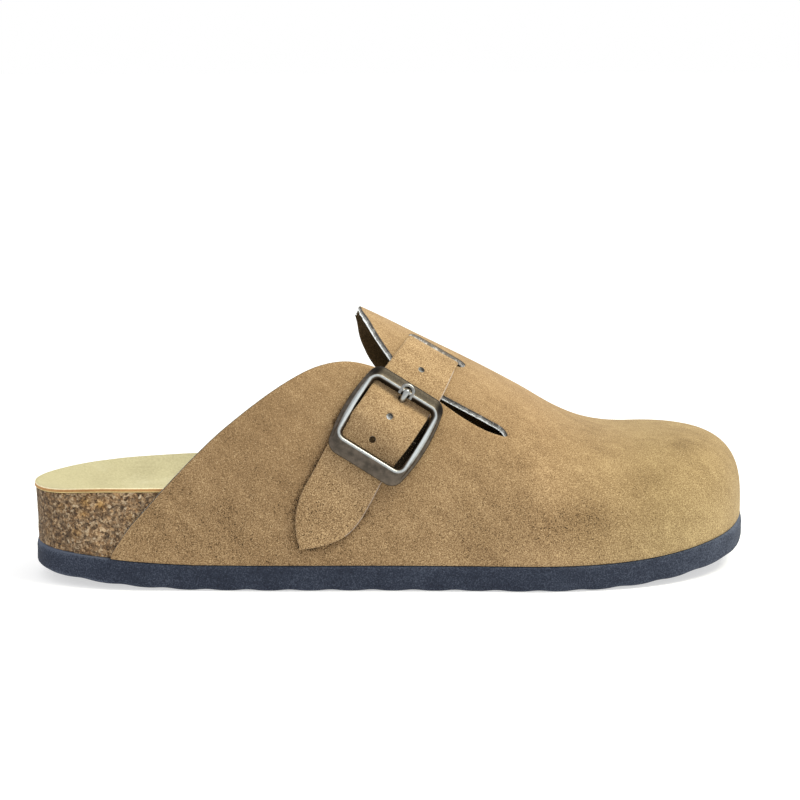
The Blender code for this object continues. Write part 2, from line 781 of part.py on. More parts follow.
def make_buckle(group, cutters, material):
    half_w = BUCKLE_WIDTH / 2
    half_l = BUCKLE_LENGTH / 2
    bevel = FRAME_BEVEL
    loops = []
    for grow, height, is_outer in (
        (bevel, FRAME_LOW, True),
        (0.0, FRAME_LOW + bevel, True),
        (0.0, FRAME_HIGH - bevel, True),
        (bevel, FRAME_HIGH, True),
        (-bevel, FRAME_HIGH, False),
        (0.0, FRAME_HIGH - bevel, False),
        (0.0, FRAME_LOW + bevel, False),
        (-bevel, FRAME_LOW, False),
    ):
        if is_outer:
            corner = OUTER_CORNER - grow
            flat = rounded_loop(half_w - grow, grow - half_l, half_l - grow, corner, OUTER_BOW)
        else:
            low_y = -half_l + BOTTOM_BAR + grow
            high_y = half_l - TOP_BAR - grow
            corner = INNER_CORNER - grow
            flat = rounded_loop(WINDOW_WIDTH / 2 - grow, low_y, high_y, corner, INNER_BOW)
        loops.append(np.column_stack([flat, np.full(len(flat), height)]))
    loops.append(loops[0])
    points = to_world(np.concatenate(loops))
    frame = new_object("buckle_frame", points, loft_loops(loops, len(loops[0])), group, material)
    ends = []
    for x in (-half_w - 0.6, half_w + 0.6):
        for k in range(ROUND_SIDES):
            angle = 2 * math.pi * k / ROUND_SIDES
            ends.append((x, CENTRE_BAR / 2 * math.cos(angle), BAR_HEIGHT + CENTRE_BAR / 2 * math.sin(angle)))
    bar = new_object("centre_bar", to_world(ends), rod_faces(2, ROUND_SIDES), cutters)
    bar.hide_render = True
    bar.display_type = "WIRE"
    join = frame.modifiers.new("join centre bar", "BOOLEAN")
    join.operation = "UNION"
    join.solver = "EXACT"
    join.object = bar
    notch = to_world([(0.0, 10.8, 4.1), (0.0, 18.8, 5.5)])
    length = np.linalg.norm(notch[1] - notch[0])
    axis = (notch[1] - notch[0]) / length
    add_cutter(frame, "prong_notch", notch.mean(0), axis, PRONG / 2 + NOTCH_CLEAR, length, cutters)
    return frame


Bend = namedtuple("Bend", "up out thick wide")


def make_prong(group, material):
    """A bent rod: a flat loop on the centre bar, then up through the strap's hole to the top bar's notch."""
    reach = CENTRE_BAR / 2 + GAP + PRONG_LOOP / 2
    rows = []
    for degrees in range(-225, 16, 30):
        angle = math.radians(degrees)
        rows.append(Bend(reach * math.sin(angle), BAR_HEIGHT + reach * math.cos(angle), PRONG_LOOP, 2.4))
    rows += [
        Bend(2.4, 3.0, 1.1, 2.0),
        Bend(5.0, 2.7, 1.4, PRONG),
        Bend(8.2, 2.0, 1.5, PRONG),
        Bend(10.3, 2.95, PRONG, PRONG),
        Bend(12.2, 4.6, PRONG, PRONG),
        Bend(13.8, 5.1, PRONG, PRONG),
        Bend(16.2, 5.4, PRONG * 0.9, PRONG * 0.9),
    ]
    path = np.array([(0.0, row.up, row.out) for row in rows])
    loops = []
    for i in range(len(path)):
        ahead = path[min(i + 1, len(path) - 1)] - path[max(i - 1, 0)]
        ahead = ahead / np.linalg.norm(ahead)
        upward = np.cross(ahead, [1.0, 0, 0])
        for k in range(PRONG_SIDES):
            angle = 2 * math.pi * k / PRONG_SIDES
            swing = rows[i].thick * math.sin(angle) * upward
            swing[0] += rows[i].wide * math.cos(angle)
            loops.append(path[i] + swing / 2)
    return new_object("buckle_prong", to_world(loops), rod_faces(len(path), PRONG_SIDES), group, material)


def main():
    remove_everything()
    parts = bpy.data.collections.new("clog mule")
    cutters = bpy.data.collections.new("cutters")
    bpy.context.scene.collection.children.link(parts)
    bpy.context.scene.collection.children.link(cutters)
    suede = look("tan suede", (0.30, 0.17, 0.08), 0.95)
    foam = look("navy foam", (0.035, 0.038, 0.055), 0.85)
    cork = look("cork", (0.16, 0.085, 0.035), 0.9)
    lining = look("cream suede", (0.62, 0.50, 0.33), 0.95)
    metal = look("dark bronze", (0.14, 0.12, 0.10), 0.38, 1.0)
    make_outsole(parts, foam)
    make_footbed(parts, cork)
    make_insole(parts, lining)
    upper = make_upper(parts, suede)
    cut_slot(upper, cutters)
    make_strap(parts, cutters, look("tan suede strap", (0.32, 0.19, 0.095), 0.95))
    make_buckle(parts, cutters, metal)
    make_prong(parts, look("bright bronze", (0.3, 0.27, 0.23), 0.3, 1.0))


main()
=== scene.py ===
"""Dresses the suede clog mule: napped suede with raw cut edges, cork footbed, foam sole and bronze buckle.

+X points to the toe, -Y to the outer side and +Z up.
Shapes are worked out in millimetres and stored in metres.
"""
import math
from collections import namedtuple

import bpy
import numpy as np
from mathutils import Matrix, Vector
from mathutils import noise as mathutils_noise


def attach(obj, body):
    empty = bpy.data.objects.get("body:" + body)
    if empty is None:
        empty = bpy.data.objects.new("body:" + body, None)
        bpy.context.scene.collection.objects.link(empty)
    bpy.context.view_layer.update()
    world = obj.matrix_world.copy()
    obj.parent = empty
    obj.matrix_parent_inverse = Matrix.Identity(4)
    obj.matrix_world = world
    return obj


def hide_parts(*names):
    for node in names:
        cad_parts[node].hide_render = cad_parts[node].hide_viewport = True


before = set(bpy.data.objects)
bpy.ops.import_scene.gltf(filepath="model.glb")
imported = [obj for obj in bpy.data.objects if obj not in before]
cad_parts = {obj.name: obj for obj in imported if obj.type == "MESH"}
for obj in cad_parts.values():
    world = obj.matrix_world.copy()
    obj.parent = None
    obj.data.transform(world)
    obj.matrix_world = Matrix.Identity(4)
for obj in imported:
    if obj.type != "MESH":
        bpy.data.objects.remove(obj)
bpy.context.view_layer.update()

MM = 0.001
TINY = 1e-9

# How finely lines are followed
OUTLINE_STEP = 0.002
LAST_STEP = 0.6
SECTION_STEPS = 160
STRAP_LINE_STEPS = 241
STRAP_AHEAD = 0.8
RISE_READS = 9
WELD_DIGITS = 4

# Overall sizes
LENGTH = 272.0
SOLE_THICK = 9.4
SOLE_EDGE_ROUND = 1.6
GAP = 0.3
HEEL_LIFT = 4.6
HEEL_LIFT_FROM = -77.0
HEEL_LIFT_POWER = 1.35
TOE_LIFT = 8.5
TOE_LIFT_FROM = 48.0
TOE_LIFT_POWER = 2.4
LIFT_LIMIT = 1.05

# Tread: main grooves across the sole, and fine wavy ones on the lands between
GROOVE_PITCH = 15.0
GROOVE_FIRST = -118.0
GROOVE_LAST = 118.0
GROOVE_WIDTH = 3.2
GROOVE_DEPTH = 1.0
GROOVE_WALL = 0.6
WAVE_PLACES = (4.6, 7.5, 10.4)
WAVE_WIDTH = 1.2
WAVE_WALL = 0.4
WAVE_DEPTH = 0.45
WAVE_SWING = 0.9
WAVE_LENGTH = 8.0
SOLE_STEPS = 620
SOLE_COLUMNS = 49

# Suede and cork
SUEDE = 1.9
CUT_EDGE_BULGE = 0.22
CUT_EDGE_BEVEL = 0.7
BEVEL_ABOVE = 45.0
BEVEL_FACING = 0.3
INSOLE_THICK = 1.5
SPINE_END = 92.0
SLIT_END_LATERAL = 37.3
SLIT_END_MEDIAL = 30.0
SLIT_ROUND = 1.6
LATERAL_BACK = -107.4
MEDIAL_BACK = -93.0
FLAP_BACK = -13.0
FLAP_CURVE_END = 2.0
SLIT_FINE = 2.0
TOE_STEPS = 66
QUARTER_ROWS = 44
FLAP_ROWS = 26
BED_COLUMNS = 41
CORK_SHOWS_TO = -48.0
HEEL_STEPS = 260
HIDDEN_STEPS = 60
CORK_ROWS = 56
CORK_PIT = 0.2
PIT_SCALE = 1.1
PIT_EDGE = 0.3
CORK_SWELL = 0.12
SWELL_SCALE = 0.35
CORK_SUNK = 0.05
PITS_PAST = 2.0
CUP_POWER = 2.6
AmberSpot = namedtuple("AmberSpot", "x z reach amount")
AMBER_SPOTS = [
    AmberSpot(-116.3, 32.0, 1.8, 0.75),
    AmberSpot(-110.8, 31.0, 1.7, 0.8),
    AmberSpot(-117.0, 27.5, 1.6, 0.5),
    AmberSpot(-120.0, 20.0, 1.8, 0.4),
    AmberSpot(-125.0, 29.0, 1.6, 0.35),
]

# Colours, as light intensities
SUEDE_SHADE = (0.012, 0.008, 0.004)
SUEDE_DARK = (0.172, 0.104, 0.049)
SUEDE_MIDDLE = (0.272, 0.1745, 0.0875)
SUEDE_LIGHT = (0.405, 0.28, 0.15)
SUEDE_TIPS = (0.62, 0.47, 0.29)
OLIVE = (0.93, 1.0, 0.94, 1.0)
SHEEN_TINT = (1.0, 0.86, 0.66, 1.0)
# The flesh side's own brown, darkened with the painted shade of the shoe's inside
FLESH_SHADE = (0.006, 0.004, 0.002)
FLESH_DARK = (0.035, 0.022, 0.010)
FLESH_MIDDLE = (0.075, 0.047, 0.021)
FLESH_LIGHT = (0.14, 0.09, 0.045)
FUZZ_DARK = (0.45, 0.38, 0.29)
FUZZ_LIGHT = (0.82, 0.78, 0.7)
STRAP_EDGE_DARK = (0.2, 0.14, 0.1)
STRAP_EDGE_LIGHT = (0.46, 0.37, 0.3)
CREAM_DARK = (0.36, 0.325, 0.2)
CREAM_LIGHT = (0.5, 0.46, 0.29)
CREAM_RUBBED = (0.66, 0.63, 0.46)
RIM_OUTER = (0.075, 0.068, 0.062)
RIM_MIDDLE = (0.3, 0.3, 0.29)
RIM_INNER = (0.84, 0.87, 0.87)
LIP_DARK = (0.62, 0.53, 0.32)
LIP_LIGHT = (0.8, 0.72, 0.5)
EDGE_ORANGE_DARK = (0.31, 0.157, 0.058)
EDGE_ORANGE = (0.47, 0.256, 0.102)
EDGE_YELLOW_DARK = (0.55, 0.42, 0.18)
EDGE_YELLOW = (0.74, 0.60, 0.30)
CORK_GAP = (0.032, 0.022, 0.015)
CORK_DARK = (0.095, 0.058, 0.031)
CORK_MIDDLE = (0.204, 0.130, 0.071)
CORK_TAN = (0.365, 0.247, 0.136)
CORK_PALE = (0.58, 0.46, 0.31)
CORK_AMBER_DARK = (0.22, 0.11, 0.03)
CORK_AMBER = (0.52, 0.31, 0.10)
CORK_WARM = (1.0, 0.86, 0.72)
CORK_PLAIN = (1.0, 1.0, 1.0)
CORK_COOL = (0.9, 0.98, 1.12)
FOAM_DARK = (0.013, 0.015, 0.024)
FOAM = (0.020, 0.026, 0.043)
# The foam's pale colour, also used for the painted highlight on the sole's top rim
FOAM_PALE = (0.085, 0.1, 0.138)
METAL_DARK = (0.066, 0.056, 0.045)
METAL_LIGHT = (0.117, 0.096, 0.077)
METAL_SHADE = (0.012, 0.010, 0.008)
# Rubbed bronze, also the colour of the buckle's painted highlights and reflections
METAL_RUBBED_AND_HIGHLIGHT = (0.6, 0.64, 0.65)

# Strap
STRAP_WIDTH = 23.2
STRAP_THICK = 1.7
STRAP_STEP = 0.9
STRAP_COLUMNS = 17
STRAP_EDGE_ROUND = 0.4
STRAP_EDGE_STEPS = (0.2, 0.5, 0.8)
EDGE_CURL = 0.12
EDGE_CURL_POWER = 6
EDGE_DROP = 0.16
EDGE_DROP_POWER = 14
PALE_EDGE_FROM = 14.0
PALE_EDGE_TO = 14.0
RISE_EASE = 1.6
TIP_LENGTH = 24.0
TIP_POINT = 2.4
TIP_LEAST = 0.03
TIP_CLOSER = 1.7
TIP_ROWS = 60
TIP_CURL = 0.7
STRAP_TONE = 0.04
STRAP_PATCHES = 0.5
STRAP_RIM = 0.3

# The soft ridge that the prong raises in the strap
PRONG_RIDGE = 0.4
PRONG_RIDGE_FROM = 0.5
PRONG_RIDGE_TO = 9.5
PRONG_RIDGE_WIDTH = 1.5
PRONG_RIDGE_RISE = 2.5
PRONG_RIDGE_FALL = 1.5

# Holes punched in the strap
HOLE_SIZE = 2.4
HOLE_IN_USE = 2.9
HOLE_REACH = 4.2
HOLE_SIDES = 28
HOLE_FLOOR = 0.4
# Painted light and shade in the holes: the way the painted light comes from, the rim tag's middle, and how
# strong the painted light and shade are in the pale and the plain holes
HOLE_LIT = (-0.7, 0.0, -0.7)
HOLE_RIM = 0.45
HOLE_PAINTED_LIGHT_PALE = 0.55
HOLE_PAINTED_LIGHT_PLAIN = 0.35
HOLE_ASIDE = (0.3, 0.9, 0.2)

# The strap's slot in the flap, and the strap's taper towards it
SLOT_WIDTH = 8.2
SLOT_FRONT = -13.0
SLOT_BACK = 10.8
SLOT_CORNER = 3.4
SLOT_CORNER_STEPS = 9
SLOT_STEP = 1.6
SLOT_NEAR = 1.5
SLOT_DEEP = 6.0
SLOT_TAPER = 1.5
SLOT_TAPER_TO = 12.0
SLOT_TAPER_RUN = 30.0

# Buckle
BUCKLE_WIDTH = 28.6
BUCKLE_LENGTH = 36.4
BUCKLE_TURN = 5.0
BUCKLE_SHIFT = (-0.87, 0.2)
OUTER_CORNER = 3.6
OUTER_BOW = 2.6
WINDOW_WIDTH = 24.3
INNER_CORNER = 1.6
INNER_BOW = 0.4
TOP_BAR = 5.4
BOTTOM_BAR = 6.9
FRAME_LOW = 2.6
FRAME_HIGH = 5.4
CENTRE_BAR = 1.6
BAR_HEIGHT = 2.1

# The notch in the top bar, and the prong that ends in it
NOTCH_HALF = 2.2
NOTCH_DEEP = 4.1
NOTCH_FLOOR = 3.5
NOTCH_LIP = 0.68
NOTCH_LIP_HEIGHT = 4.8
# The notch's lip: rubbed bronze and painted highlight
NOTCH_LIP_WEAR_AND_HIGHLIGHT = 0.4
PRONG = 1.7
PRONG_LOOP = 0.7
PRONG_SIDES = 20
# The prong's end: rubbed bronze and painted highlight
PRONG_WEAR_AND_HIGHLIGHT = 0.55

# The shade that the strap throws on the quarter beside it
STRAP_SHADE = 0.3
STRAP_SHADE_REACH = 1.6
STRAP_SHADE_FROM = 12.0
STRAP_SHADE_SPOTS = 50
STRAP_NEAR_X = -25.0
STRAP_NEAR = 40.0

# The shade under the buckle's side bars, in the buckle's own axes
BUCKLE_SHADE = -0.6
SHADE_INNER = 8.0
SHADE_INNER_RUN = 2.0
SHADE_OUTER = 15.8
SHADE_OUTER_RUN = 1.2
SHADE_LOW = -11.5
SHADE_HIGH = 14.0
SHADE_END_RUN = 1.5
SHADE_REACH = 8.0

# The prong's bends, up the strap and out from the shoe
Bend = namedtuple("Bend", "up out thick wide")
PRONG_BENDS = [
    Bend(2.4, 3.0, 1.1, 2.0),
    Bend(5.0, 2.7, 1.4, PRONG),
    Bend(8.2, 2.0, 1.5, PRONG),
    Bend(10.3, 2.95, PRONG, PRONG),
    Bend(12.2, 4.6, 1.8, 2.1),
    Bend(13.8, 5.1, 1.8, 2.3),
    Bend(15.4, 5.15, 1.7, 2.2),
]

# How closely the upper's stations follow each other
UpperStretch = namedtuple("UpperStretch", "first last step")
UPPER_STRETCHES = [
    UpperStretch(LATERAL_BACK, MEDIAL_BACK, 1.0),
    UpperStretch(MEDIAL_BACK, FLAP_BACK, 1.3),
    UpperStretch(FLAP_BACK, FLAP_CURVE_END, 0.7),
    UpperStretch(FLAP_CURVE_END, SLIT_END_MEDIAL - SLIT_FINE, 1.2),
    UpperStretch(SLIT_END_MEDIAL - SLIT_FINE, SLIT_END_MEDIAL, 0.25),
    UpperStretch(SLIT_END_MEDIAL, SLIT_END_LATERAL - SLIT_FINE, 1.1),
    UpperStretch(SLIT_END_LATERAL - SLIT_FINE, SLIT_END_LATERAL, 0.25),
    UpperStretch(SLIT_END_LATERAL, SPINE_END, 1.3),
]

# Soft folds of the suede, as lines over x and height on one side of the shoe
Fold = namedtuple("Fold", "x1 z1 x2 z2 width height side")
FOLDS = [
    Fold(38.0, 55.0, 66.0, 34.0, 5.0, -0.35, -1),
    Fold(44.0, 60.0, 74.0, 42.0, 5.5, 0.30, -1),
    Fold(54.0, 28.0, 78.0, 18.0, 4.5, -0.25, -1),
    Fold(-40.0, 70.0, -26.0, 48.0, 6.0, -0.25, -1),
    Fold(30.0, 48.0, 62.0, 30.0, 5.0, -0.35, 1),
    Fold(40.0, 54.0, 72.0, 38.0, 5.5, 0.30, 1),
    Fold(-34.0, 54.0, -12.0, 36.0, 6.0, -0.25, 1),
]

# Patches where the nap is brushed paler or darker, over x and height on one side of the shoe
Patch = namedtuple("Patch", "x z reach_x reach_z amount side")
PATCHES = [
    Patch(-70.0, 34.0, 60.0, 44.0, -0.1, -1),
    Patch(10.0, 20.0, 55.0, 30.0, -0.03, -1),
    Patch(74.0, 55.0, 30.0, 7.0, -0.09, -1),
    Patch(104.0, 48.0, 20.0, 7.0, -0.04, -1),
    Patch(84.0, 44.0, 24.0, 3.5, 0.05, -1),
    Patch(56.0, 26.0, 22.0, 9.0, -0.06, -1),
    Patch(64.0, 13.0, 34.0, 3.0, 0.06, -1),
    Patch(118.0, 22.0, 14.0, 9.0, 0.09, -1),
    Patch(-4.0, 92.0, 22.0, 9.0, 0.02, -1),
    Patch(-52.0, 66.0, 22.0, 12.0, -0.05, -1),
    Patch(30.0, 46.0, 24.0, 12.0, -0.05, -1),
    Patch(107.7, 47.1, 8.0, 3.0, -0.1, -1),
    Patch(86.6, 38.9, 7.0, 3.2, -0.09, -1),
    Patch(77.0, 26.0, 7.0, 3.2, -0.08, -1),
    Patch(61.0, 28.6, 10.0, 6.0, -0.06, -1),
    Patch(93.2, 33.1, 6.0, 2.6, 0.07, -1),
    Patch(72.6, 42.2, 5.0, 2.5, 0.07, -1),
    Patch(115.4, 43.2, 4.0, 3.0, 0.06, -1),
    Patch(89.3, 51.2, 12.0, 1.2, 0.1, -1),
    Patch(103.2, 17.3, 9.0, 3.0, 0.06, -1),
]

# Soft shades, and how the upper's cut edges are followed
OTHER_SIDE = 0.25
FOLD_FADE = 0.25
SHUT_STRIP = 0.04
SHUT_ROW = 0.5
EDGE_SLACK = 0.1
SLIT_SLACK = 1e-6
COLLAR_PALE_FROM = -16.0
COLLAR_PALE_RUN = 12.0
COLLAR_PALE = 0.1
QUARTER_EDGE_FROM = -15.0
QUARTER_EDGE_RUN = 20.0
QUARTER_EDGE_DULL = 0.45
FUZZ_NARROW = 1.25
OLIVE_FROM = 50.0
OLIVE_FULL = 95.0

# Half widths of the sole at stations from heel to toe
Plan = namedtuple("Plan", "station lateral medial")
PLAN = [
    Plan(0.000, 0.0, 0.0),
    Plan(0.020, 16.3, 16.0),
    Plan(0.060, 24.5, 25.0),
    Plan(0.120, 31.0, 32.0),
    Plan(0.200, 34.0, 34.0),
    Plan(0.320, 38.5, 34.5),
    Plan(0.450, 42.0, 37.0),
    Plan(0.580, 46.4, 43.0),
    Plan(0.680, 50.3, 48.3),
    Plan(0.760, 50.0, 50.3),
    Plan(0.840, 45.5, 49.0),
    Plan(0.910, 36.0, 43.5),
    Plan(0.960, 23.5, 35.0),
    Plan(0.990, 6.0, 23.0),
    Plan(1.000, -10.0, 10.0),
]

# The ridge of the last: its height, its place across, and how full the last is below it
Ridge = namedtuple("Ridge", "x height across fullness")
RIDGE = [
    Ridge(-136.0, 106.0, 1.0, 3.0),
    Ridge(-100.0, 108.0, 1.0, 3.0),
    Ridge(-65.0, 109.0, 2.0, 2.7),
    Ridge(-30.0, 105.5, 3.5, 2.35),
    Ridge(-13.0, 98.6, 4.0, 2.2),
    Ridge(10.0, 87.2, 4.5, 2.15),
    Ridge(33.0, 75.6, 5.0, 2.15),
    Ridge(48.0, 67.4, 5.5, 2.2),
    Ridge(63.0, 58.6, 6.0, 2.3),
    Ridge(71.0, 55.0, 6.5, 2.4),
    Ridge(79.0, 52.7, 7.0, 2.5),
    Ridge(86.0, 51.7, 7.0, 2.55),
    Ridge(92.0, 51.4, 7.0, 2.6),
    Ridge(136.0, 51.4, 7.0, 3.3),
]

# The cut edges of the collar and of the flap, on both sides
Rim = namedtuple("Rim", "x height")
COLLAR_LATERAL = [
    Rim(-109.0, 10.0),
    Rim(-105.7, 15.6),
    Rim(-100.5, 23.2),
    Rim(-94.0, 30.6),
    Rim(-87.4, 38.0),
    Rim(-81.0, 44.9),
    Rim(-75.0, 51.0),
    Rim(-68.5, 57.2),
    Rim(-62.0, 62.6),
    Rim(-52.2, 70.0),
    Rim(-41.0, 77.0),
    Rim(-34.2, 80.2),
    Rim(-28.0, 81.9),
    Rim(-21.4, 82.4),
    Rim(-10.4, 80.0),
    Rim(2.0, 73.8),
    Rim(13.5, 67.0),
    Rim(20.4, 62.2),
    Rim(31.0, 56.5),
    Rim(37.3, 54.6),
]
COLLAR_MEDIAL = [
    Rim(-96.0, 9.8),
    Rim(-80.0, 26.0),
    Rim(-64.0, 42.5),
    Rim(-52.0, 50.5),
    Rim(-38.0, 58.5),
    Rim(-24.0, 64.5),
    Rim(-14.0, 66.5),
    Rim(-4.0, 64.5),
    Rim(12.0, 57.5),
    Rim(30.0, 48.5),
]
FLAP_LATERAL = [
    Rim(-13.0, 98.0),
    Rim(-11.0, 95.3),
    Rim(-9.0, 91.7),
    Rim(-3.4, 83.0),
    Rim(0.0, 78.2),
    Rim(3.0, 76.0),
    Rim(13.5, 70.0),
    Rim(20.4, 66.3),
    Rim(31.0, 60.6),
    Rim(35.5, 58.0),
    Rim(37.3, 56.4),
]
FLAP_MEDIAL = [
    Rim(-13.0, 95.0),
    Rim(-11.5, 87.8),
    Rim(-8.8, 80.4),
    Rim(-3.9, 72.0),
    Rim(-0.5, 67.0),
    Rim(3.0, 63.8),
    Rim(12.0, 59.8),
    Rim(30.0, 50.7),
]

# How far in from the sole's edge the suede and the cork stand, heel to toe
Edge = namedtuple("Edge", "x inset")
SUEDE_EDGE = [
    Edge(-136.0, 0.2),
    Edge(80.0, 0.2),
    Edge(90.0, 0.2),
    Edge(115.0, 0.6),
    Edge(128.0, 1.0),
    Edge(136.0, 0.6),
]
CORK_EDGE = [
    Edge(-136.0, 1.1),
    Edge(-122.0, 1.2),
    Edge(-114.5, 1.8),
    Edge(-109.2, 2.4),
    Edge(-104.0, 2.4),
    Edge(80.0, 2.4),
    Edge(90.0, 2.4),
    Edge(115.0, 2.8),
    Edge(136.0, 3.6),
]

# The footbed's rim heights, the depth of its cup, and how far its wall leans in
Bed = namedtuple("Bed", "station lateral medial cup lean")
BED = [
    Bed(0.00, 33.7, 33.7, 0.0, -0.4),
    Bed(0.03, 34.2, 34.2, 4.0, -0.4),
    Bed(0.09, 35.6, 35.4, 9.0, -0.4),
    Bed(0.16, 36.0, 36.2, 11.0, 0.0),
    Bed(0.22, 35.8, 36.8, 11.0, 0.6),
    Bed(0.35, 32.5, 36.6, 9.0, 1.1),
    Bed(0.50, 27.5, 32.0, 5.5, 1.6),
    Bed(0.65, 24.5, 25.5, 3.0, 2.2),
    Bed(0.80, 24.0, 24.0, 2.5, 2.9),
    Bed(0.92, 26.0, 26.0, 2.0, 2.0),
    Bed(1.00, 29.0, 29.0, 0.0, 1.0),
]

# The strap's middle line from its hidden root to its tip, as places on the last
Path = namedtuple("Path", "x around")
STRAP_PATH = [
    Path(33.0, 50.0),
    Path(28.5, 32.0),
    Path(23.0, 14.0),
    Path(18.5, 1.0),
    Path(15.0, -8.0),
    Path(11.8, -17.5),
    Path(8.0, -27.0),
    Path(3.3, -37.0),
    Path(-2.6, -47.4),
    Path(-8.6, -57.9),
    Path(-14.0, -66.4),
    Path(-18.7, -74.2),
    Path(-23.6, -84.6),
    Path(-28.9, -94.9),
    Path(-33.8, -103.0),
    Path(-39.0, -111.3),
]
SLOT_ROW = 4
BUCKLE_ROW = 9

# How high the strap's underside sits over the last, by the distance down from the middle of the buckle
Rise = namedtuple("Rise", "down lift")
STRAP_RISE = [
    Rise(-70.0, -4.1),
    Rise(-47.9, -4.1),
    Rise(-40.6, 0.35),
    Rise(-13.2, 0.35),
    Rise(-10.4, 2.5),
    Rise(-7.8, 4.1),
    Rise(0.0, 4.1),
    Rise(3.0, 3.6),
    Rise(9.0, 0.6),
    Rise(12.0, 0.35),
    Rise(60.0, 0.35),
]

# Where the holes are, up the strap from the middle of the buckle
HOLES_UP = (26.2, 3.1, -6.5)
HOLES_PALE = HOLES_UP[:2]
HOLE_IN_USE_UP = 11.2


def smooth(at, value, where):
    """Hermite interpolation of a short table, level with its own neighbours at each row."""
    at = np.asarray(at, float)
    value = np.asarray(value, float)
    step = np.diff(at)
    rise = np.diff(value) / step
    slope = np.empty_like(value)
    slope[1:-1] = (rise[:-1] * step[1:] + rise[1:] * step[:-1]) / (step[:-1] + step[1:])
    slope[0] = rise[0]
    slope[-1] = rise[-1]
    where = np.clip(np.asarray(where, float), at[0], at[-1])
    i = np.clip(np.searchsorted(at, where, side="right") - 1, 0, len(step) - 1)
    s = (where - at[i]) / step[i]
    held = value[i] * (1 + 2 * s) * (1 - s) ** 2 + value[i + 1] * s ** 2 * (3 - 2 * s)
    return held + step[i] * (slope[i] * s * (1 - s) ** 2 + slope[i + 1] * s ** 2 * (s - 1))


def table(rows, key, column, where):
    return smooth([getattr(row, key) for row in rows], [getattr(row, column) for row in rows], where)


def turn_of(x):
    """The turn along the plan at x: 0 at the heel and half a circle at the toe."""
    return np.arccos(np.clip(-np.asarray(x, float) / (LENGTH / 2), -1, 1))


def rising(value, start, run):
    """0 up to a start and 1 after a run; with a negative run it rises the other way."""
    return np.clip((value - start) / run, 0, 1)


def unit(way):
    return way / np.linalg.norm(way)


def unit_rows(ways):
    return ways / np.maximum(np.linalg.norm(ways, axis=1, keepdims=True), TINY)


def run_along(points):
    """The length run along a line of points, up to each one."""
    return np.concatenate([[0], np.cumsum(np.linalg.norm(np.diff(points, axis=0), axis=1))])


def along_plan(rows, column, turn):
    """A table over stations, read over the turn so that the ends come out round."""
    at = np.arccos(1 - 2 * np.array([row.station for row in rows]))
    return smooth(at, [getattr(row, column) for row in rows], turn)


def outline(turn, side, inset=0.0):
    """The plan outline moved in by an inset along its own normal; side is -1 lateral and +1 medial."""
    column = "medial" if side > 0 else "lateral"
    turn = np.asarray(turn, float)

    def at(angle):
        return -LENGTH / 2 * np.cos(angle), side * along_plan(PLAN, column, angle)

    before_x, before_y = at(np.clip(turn - OUTLINE_STEP, 0, math.pi))
    after_x, after_y = at(np.clip(turn + OUTLINE_STEP, 0, math.pi))
    run_x = after_x - before_x
    run_y = after_y - before_y
    size = np.hypot(run_x, run_y)
    x, y = at(turn)
    return x + side * inset * run_y / size, y - side * inset * run_x / size


def lift(x):
    """Height of the sole's underside: level in the middle, rising to the heel and to the toe."""
    half = LENGTH / 2
    heel = np.clip((HEEL_LIFT_FROM - x) / (HEEL_LIFT_FROM + half), 0, LIFT_LIMIT) ** HEEL_LIFT_POWER
    toe = np.clip((x - TOE_LIFT_FROM) / (half - TOE_LIFT_FROM), 0, LIFT_LIMIT) ** TOE_LIFT_POWER
    return HEEL_LIFT * heel + TOE_LIFT * toe


def section(turn, side):
    """One line of the last from the sole up to the ridge: its points, and the length run up to each."""
    inset = table(SUEDE_EDGE, "x", "inset", -LENGTH / 2 * math.cos(turn))
    base_x, base_y = outline(turn, side, inset)
    base_z = SOLE_THICK + GAP + lift(base_x)
    spine_x = min(float(base_x), SPINE_END)
    spine_y = float(table(RIDGE, "x", "across", spine_x))
    spine_z = float(table(RIDGE, "x", "height", spine_x))
    power = 2 / float(table(RIDGE, "x", "fullness", base_x))
    step = (1 - np.cos(np.linspace(0, math.pi, SECTION_STEPS))) / 2 * math.pi / 2
    out = np.cos(step) ** power
    out[-1] = 0.0
    up = np.sin(step) ** power
    points = np.stack(
        [
            spine_x + (base_x - spine_x) * out,
            spine_y + (base_y - spine_y) * out,
            base_z + (spine_z - base_z) * up,
        ],
        -1,
    )
    return points, run_along(points)


def pick(points, run, where):
    return np.stack([np.interp(where, run, points[:, k]) for k in range(3)], -1)


def run_at_height(points, run, height):
    return float(np.interp(height, points[:, 2], run))


def last_at(x, around):
    """A point of the last at x, a distance around from the ridge; negative is lateral."""
    points, run = section(float(turn_of(x)), -1 if around < 0 else 1)
    return pick(points, run, np.array([run[-1] - abs(around)]))[0]


def last_frame(x, around):
    """Point, outward normal and the two tangents of the last."""
    step = LAST_STEP
    along = (last_at(x + step, around) - last_at(x - step, around)) / (2 * step)
    across = (last_at(x, around + step) - last_at(x, around - step)) / (2 * step)
    normal = unit(np.cross(across, along))
    if normal[2] < 0:
        normal = -normal
    return last_at(x, around), normal, along, across


# Making meshes


def new_piece(name, points, faces, looks, face_looks=None, tags=None, sharp=None):
    """An object from points in millimetres; tags are numbers kept at its points for the materials."""
    mesh = bpy.data.meshes.new(name)
    mesh.from_pydata((np.asarray(points, float) * MM).tolist(), [], faces)
    for look in looks:
        mesh.materials.append(look)
    if face_looks is not None:
        mesh.polygons.foreach_set("material_index", np.asarray(face_looks, np.int32))
    for key, values in (tags or {}).items():
        mesh.attributes.new(key, "FLOAT", "POINT").data.foreach_set("value", np.asarray(values, np.float32))
    mesh.shade_smooth()
    if sharp:
        mesh.set_sharp_from_angle(angle=math.radians(sharp))
    mesh.validate()
    item = bpy.data.objects.new(name, mesh)
    bpy.context.scene.collection.objects.link(item)
    return item


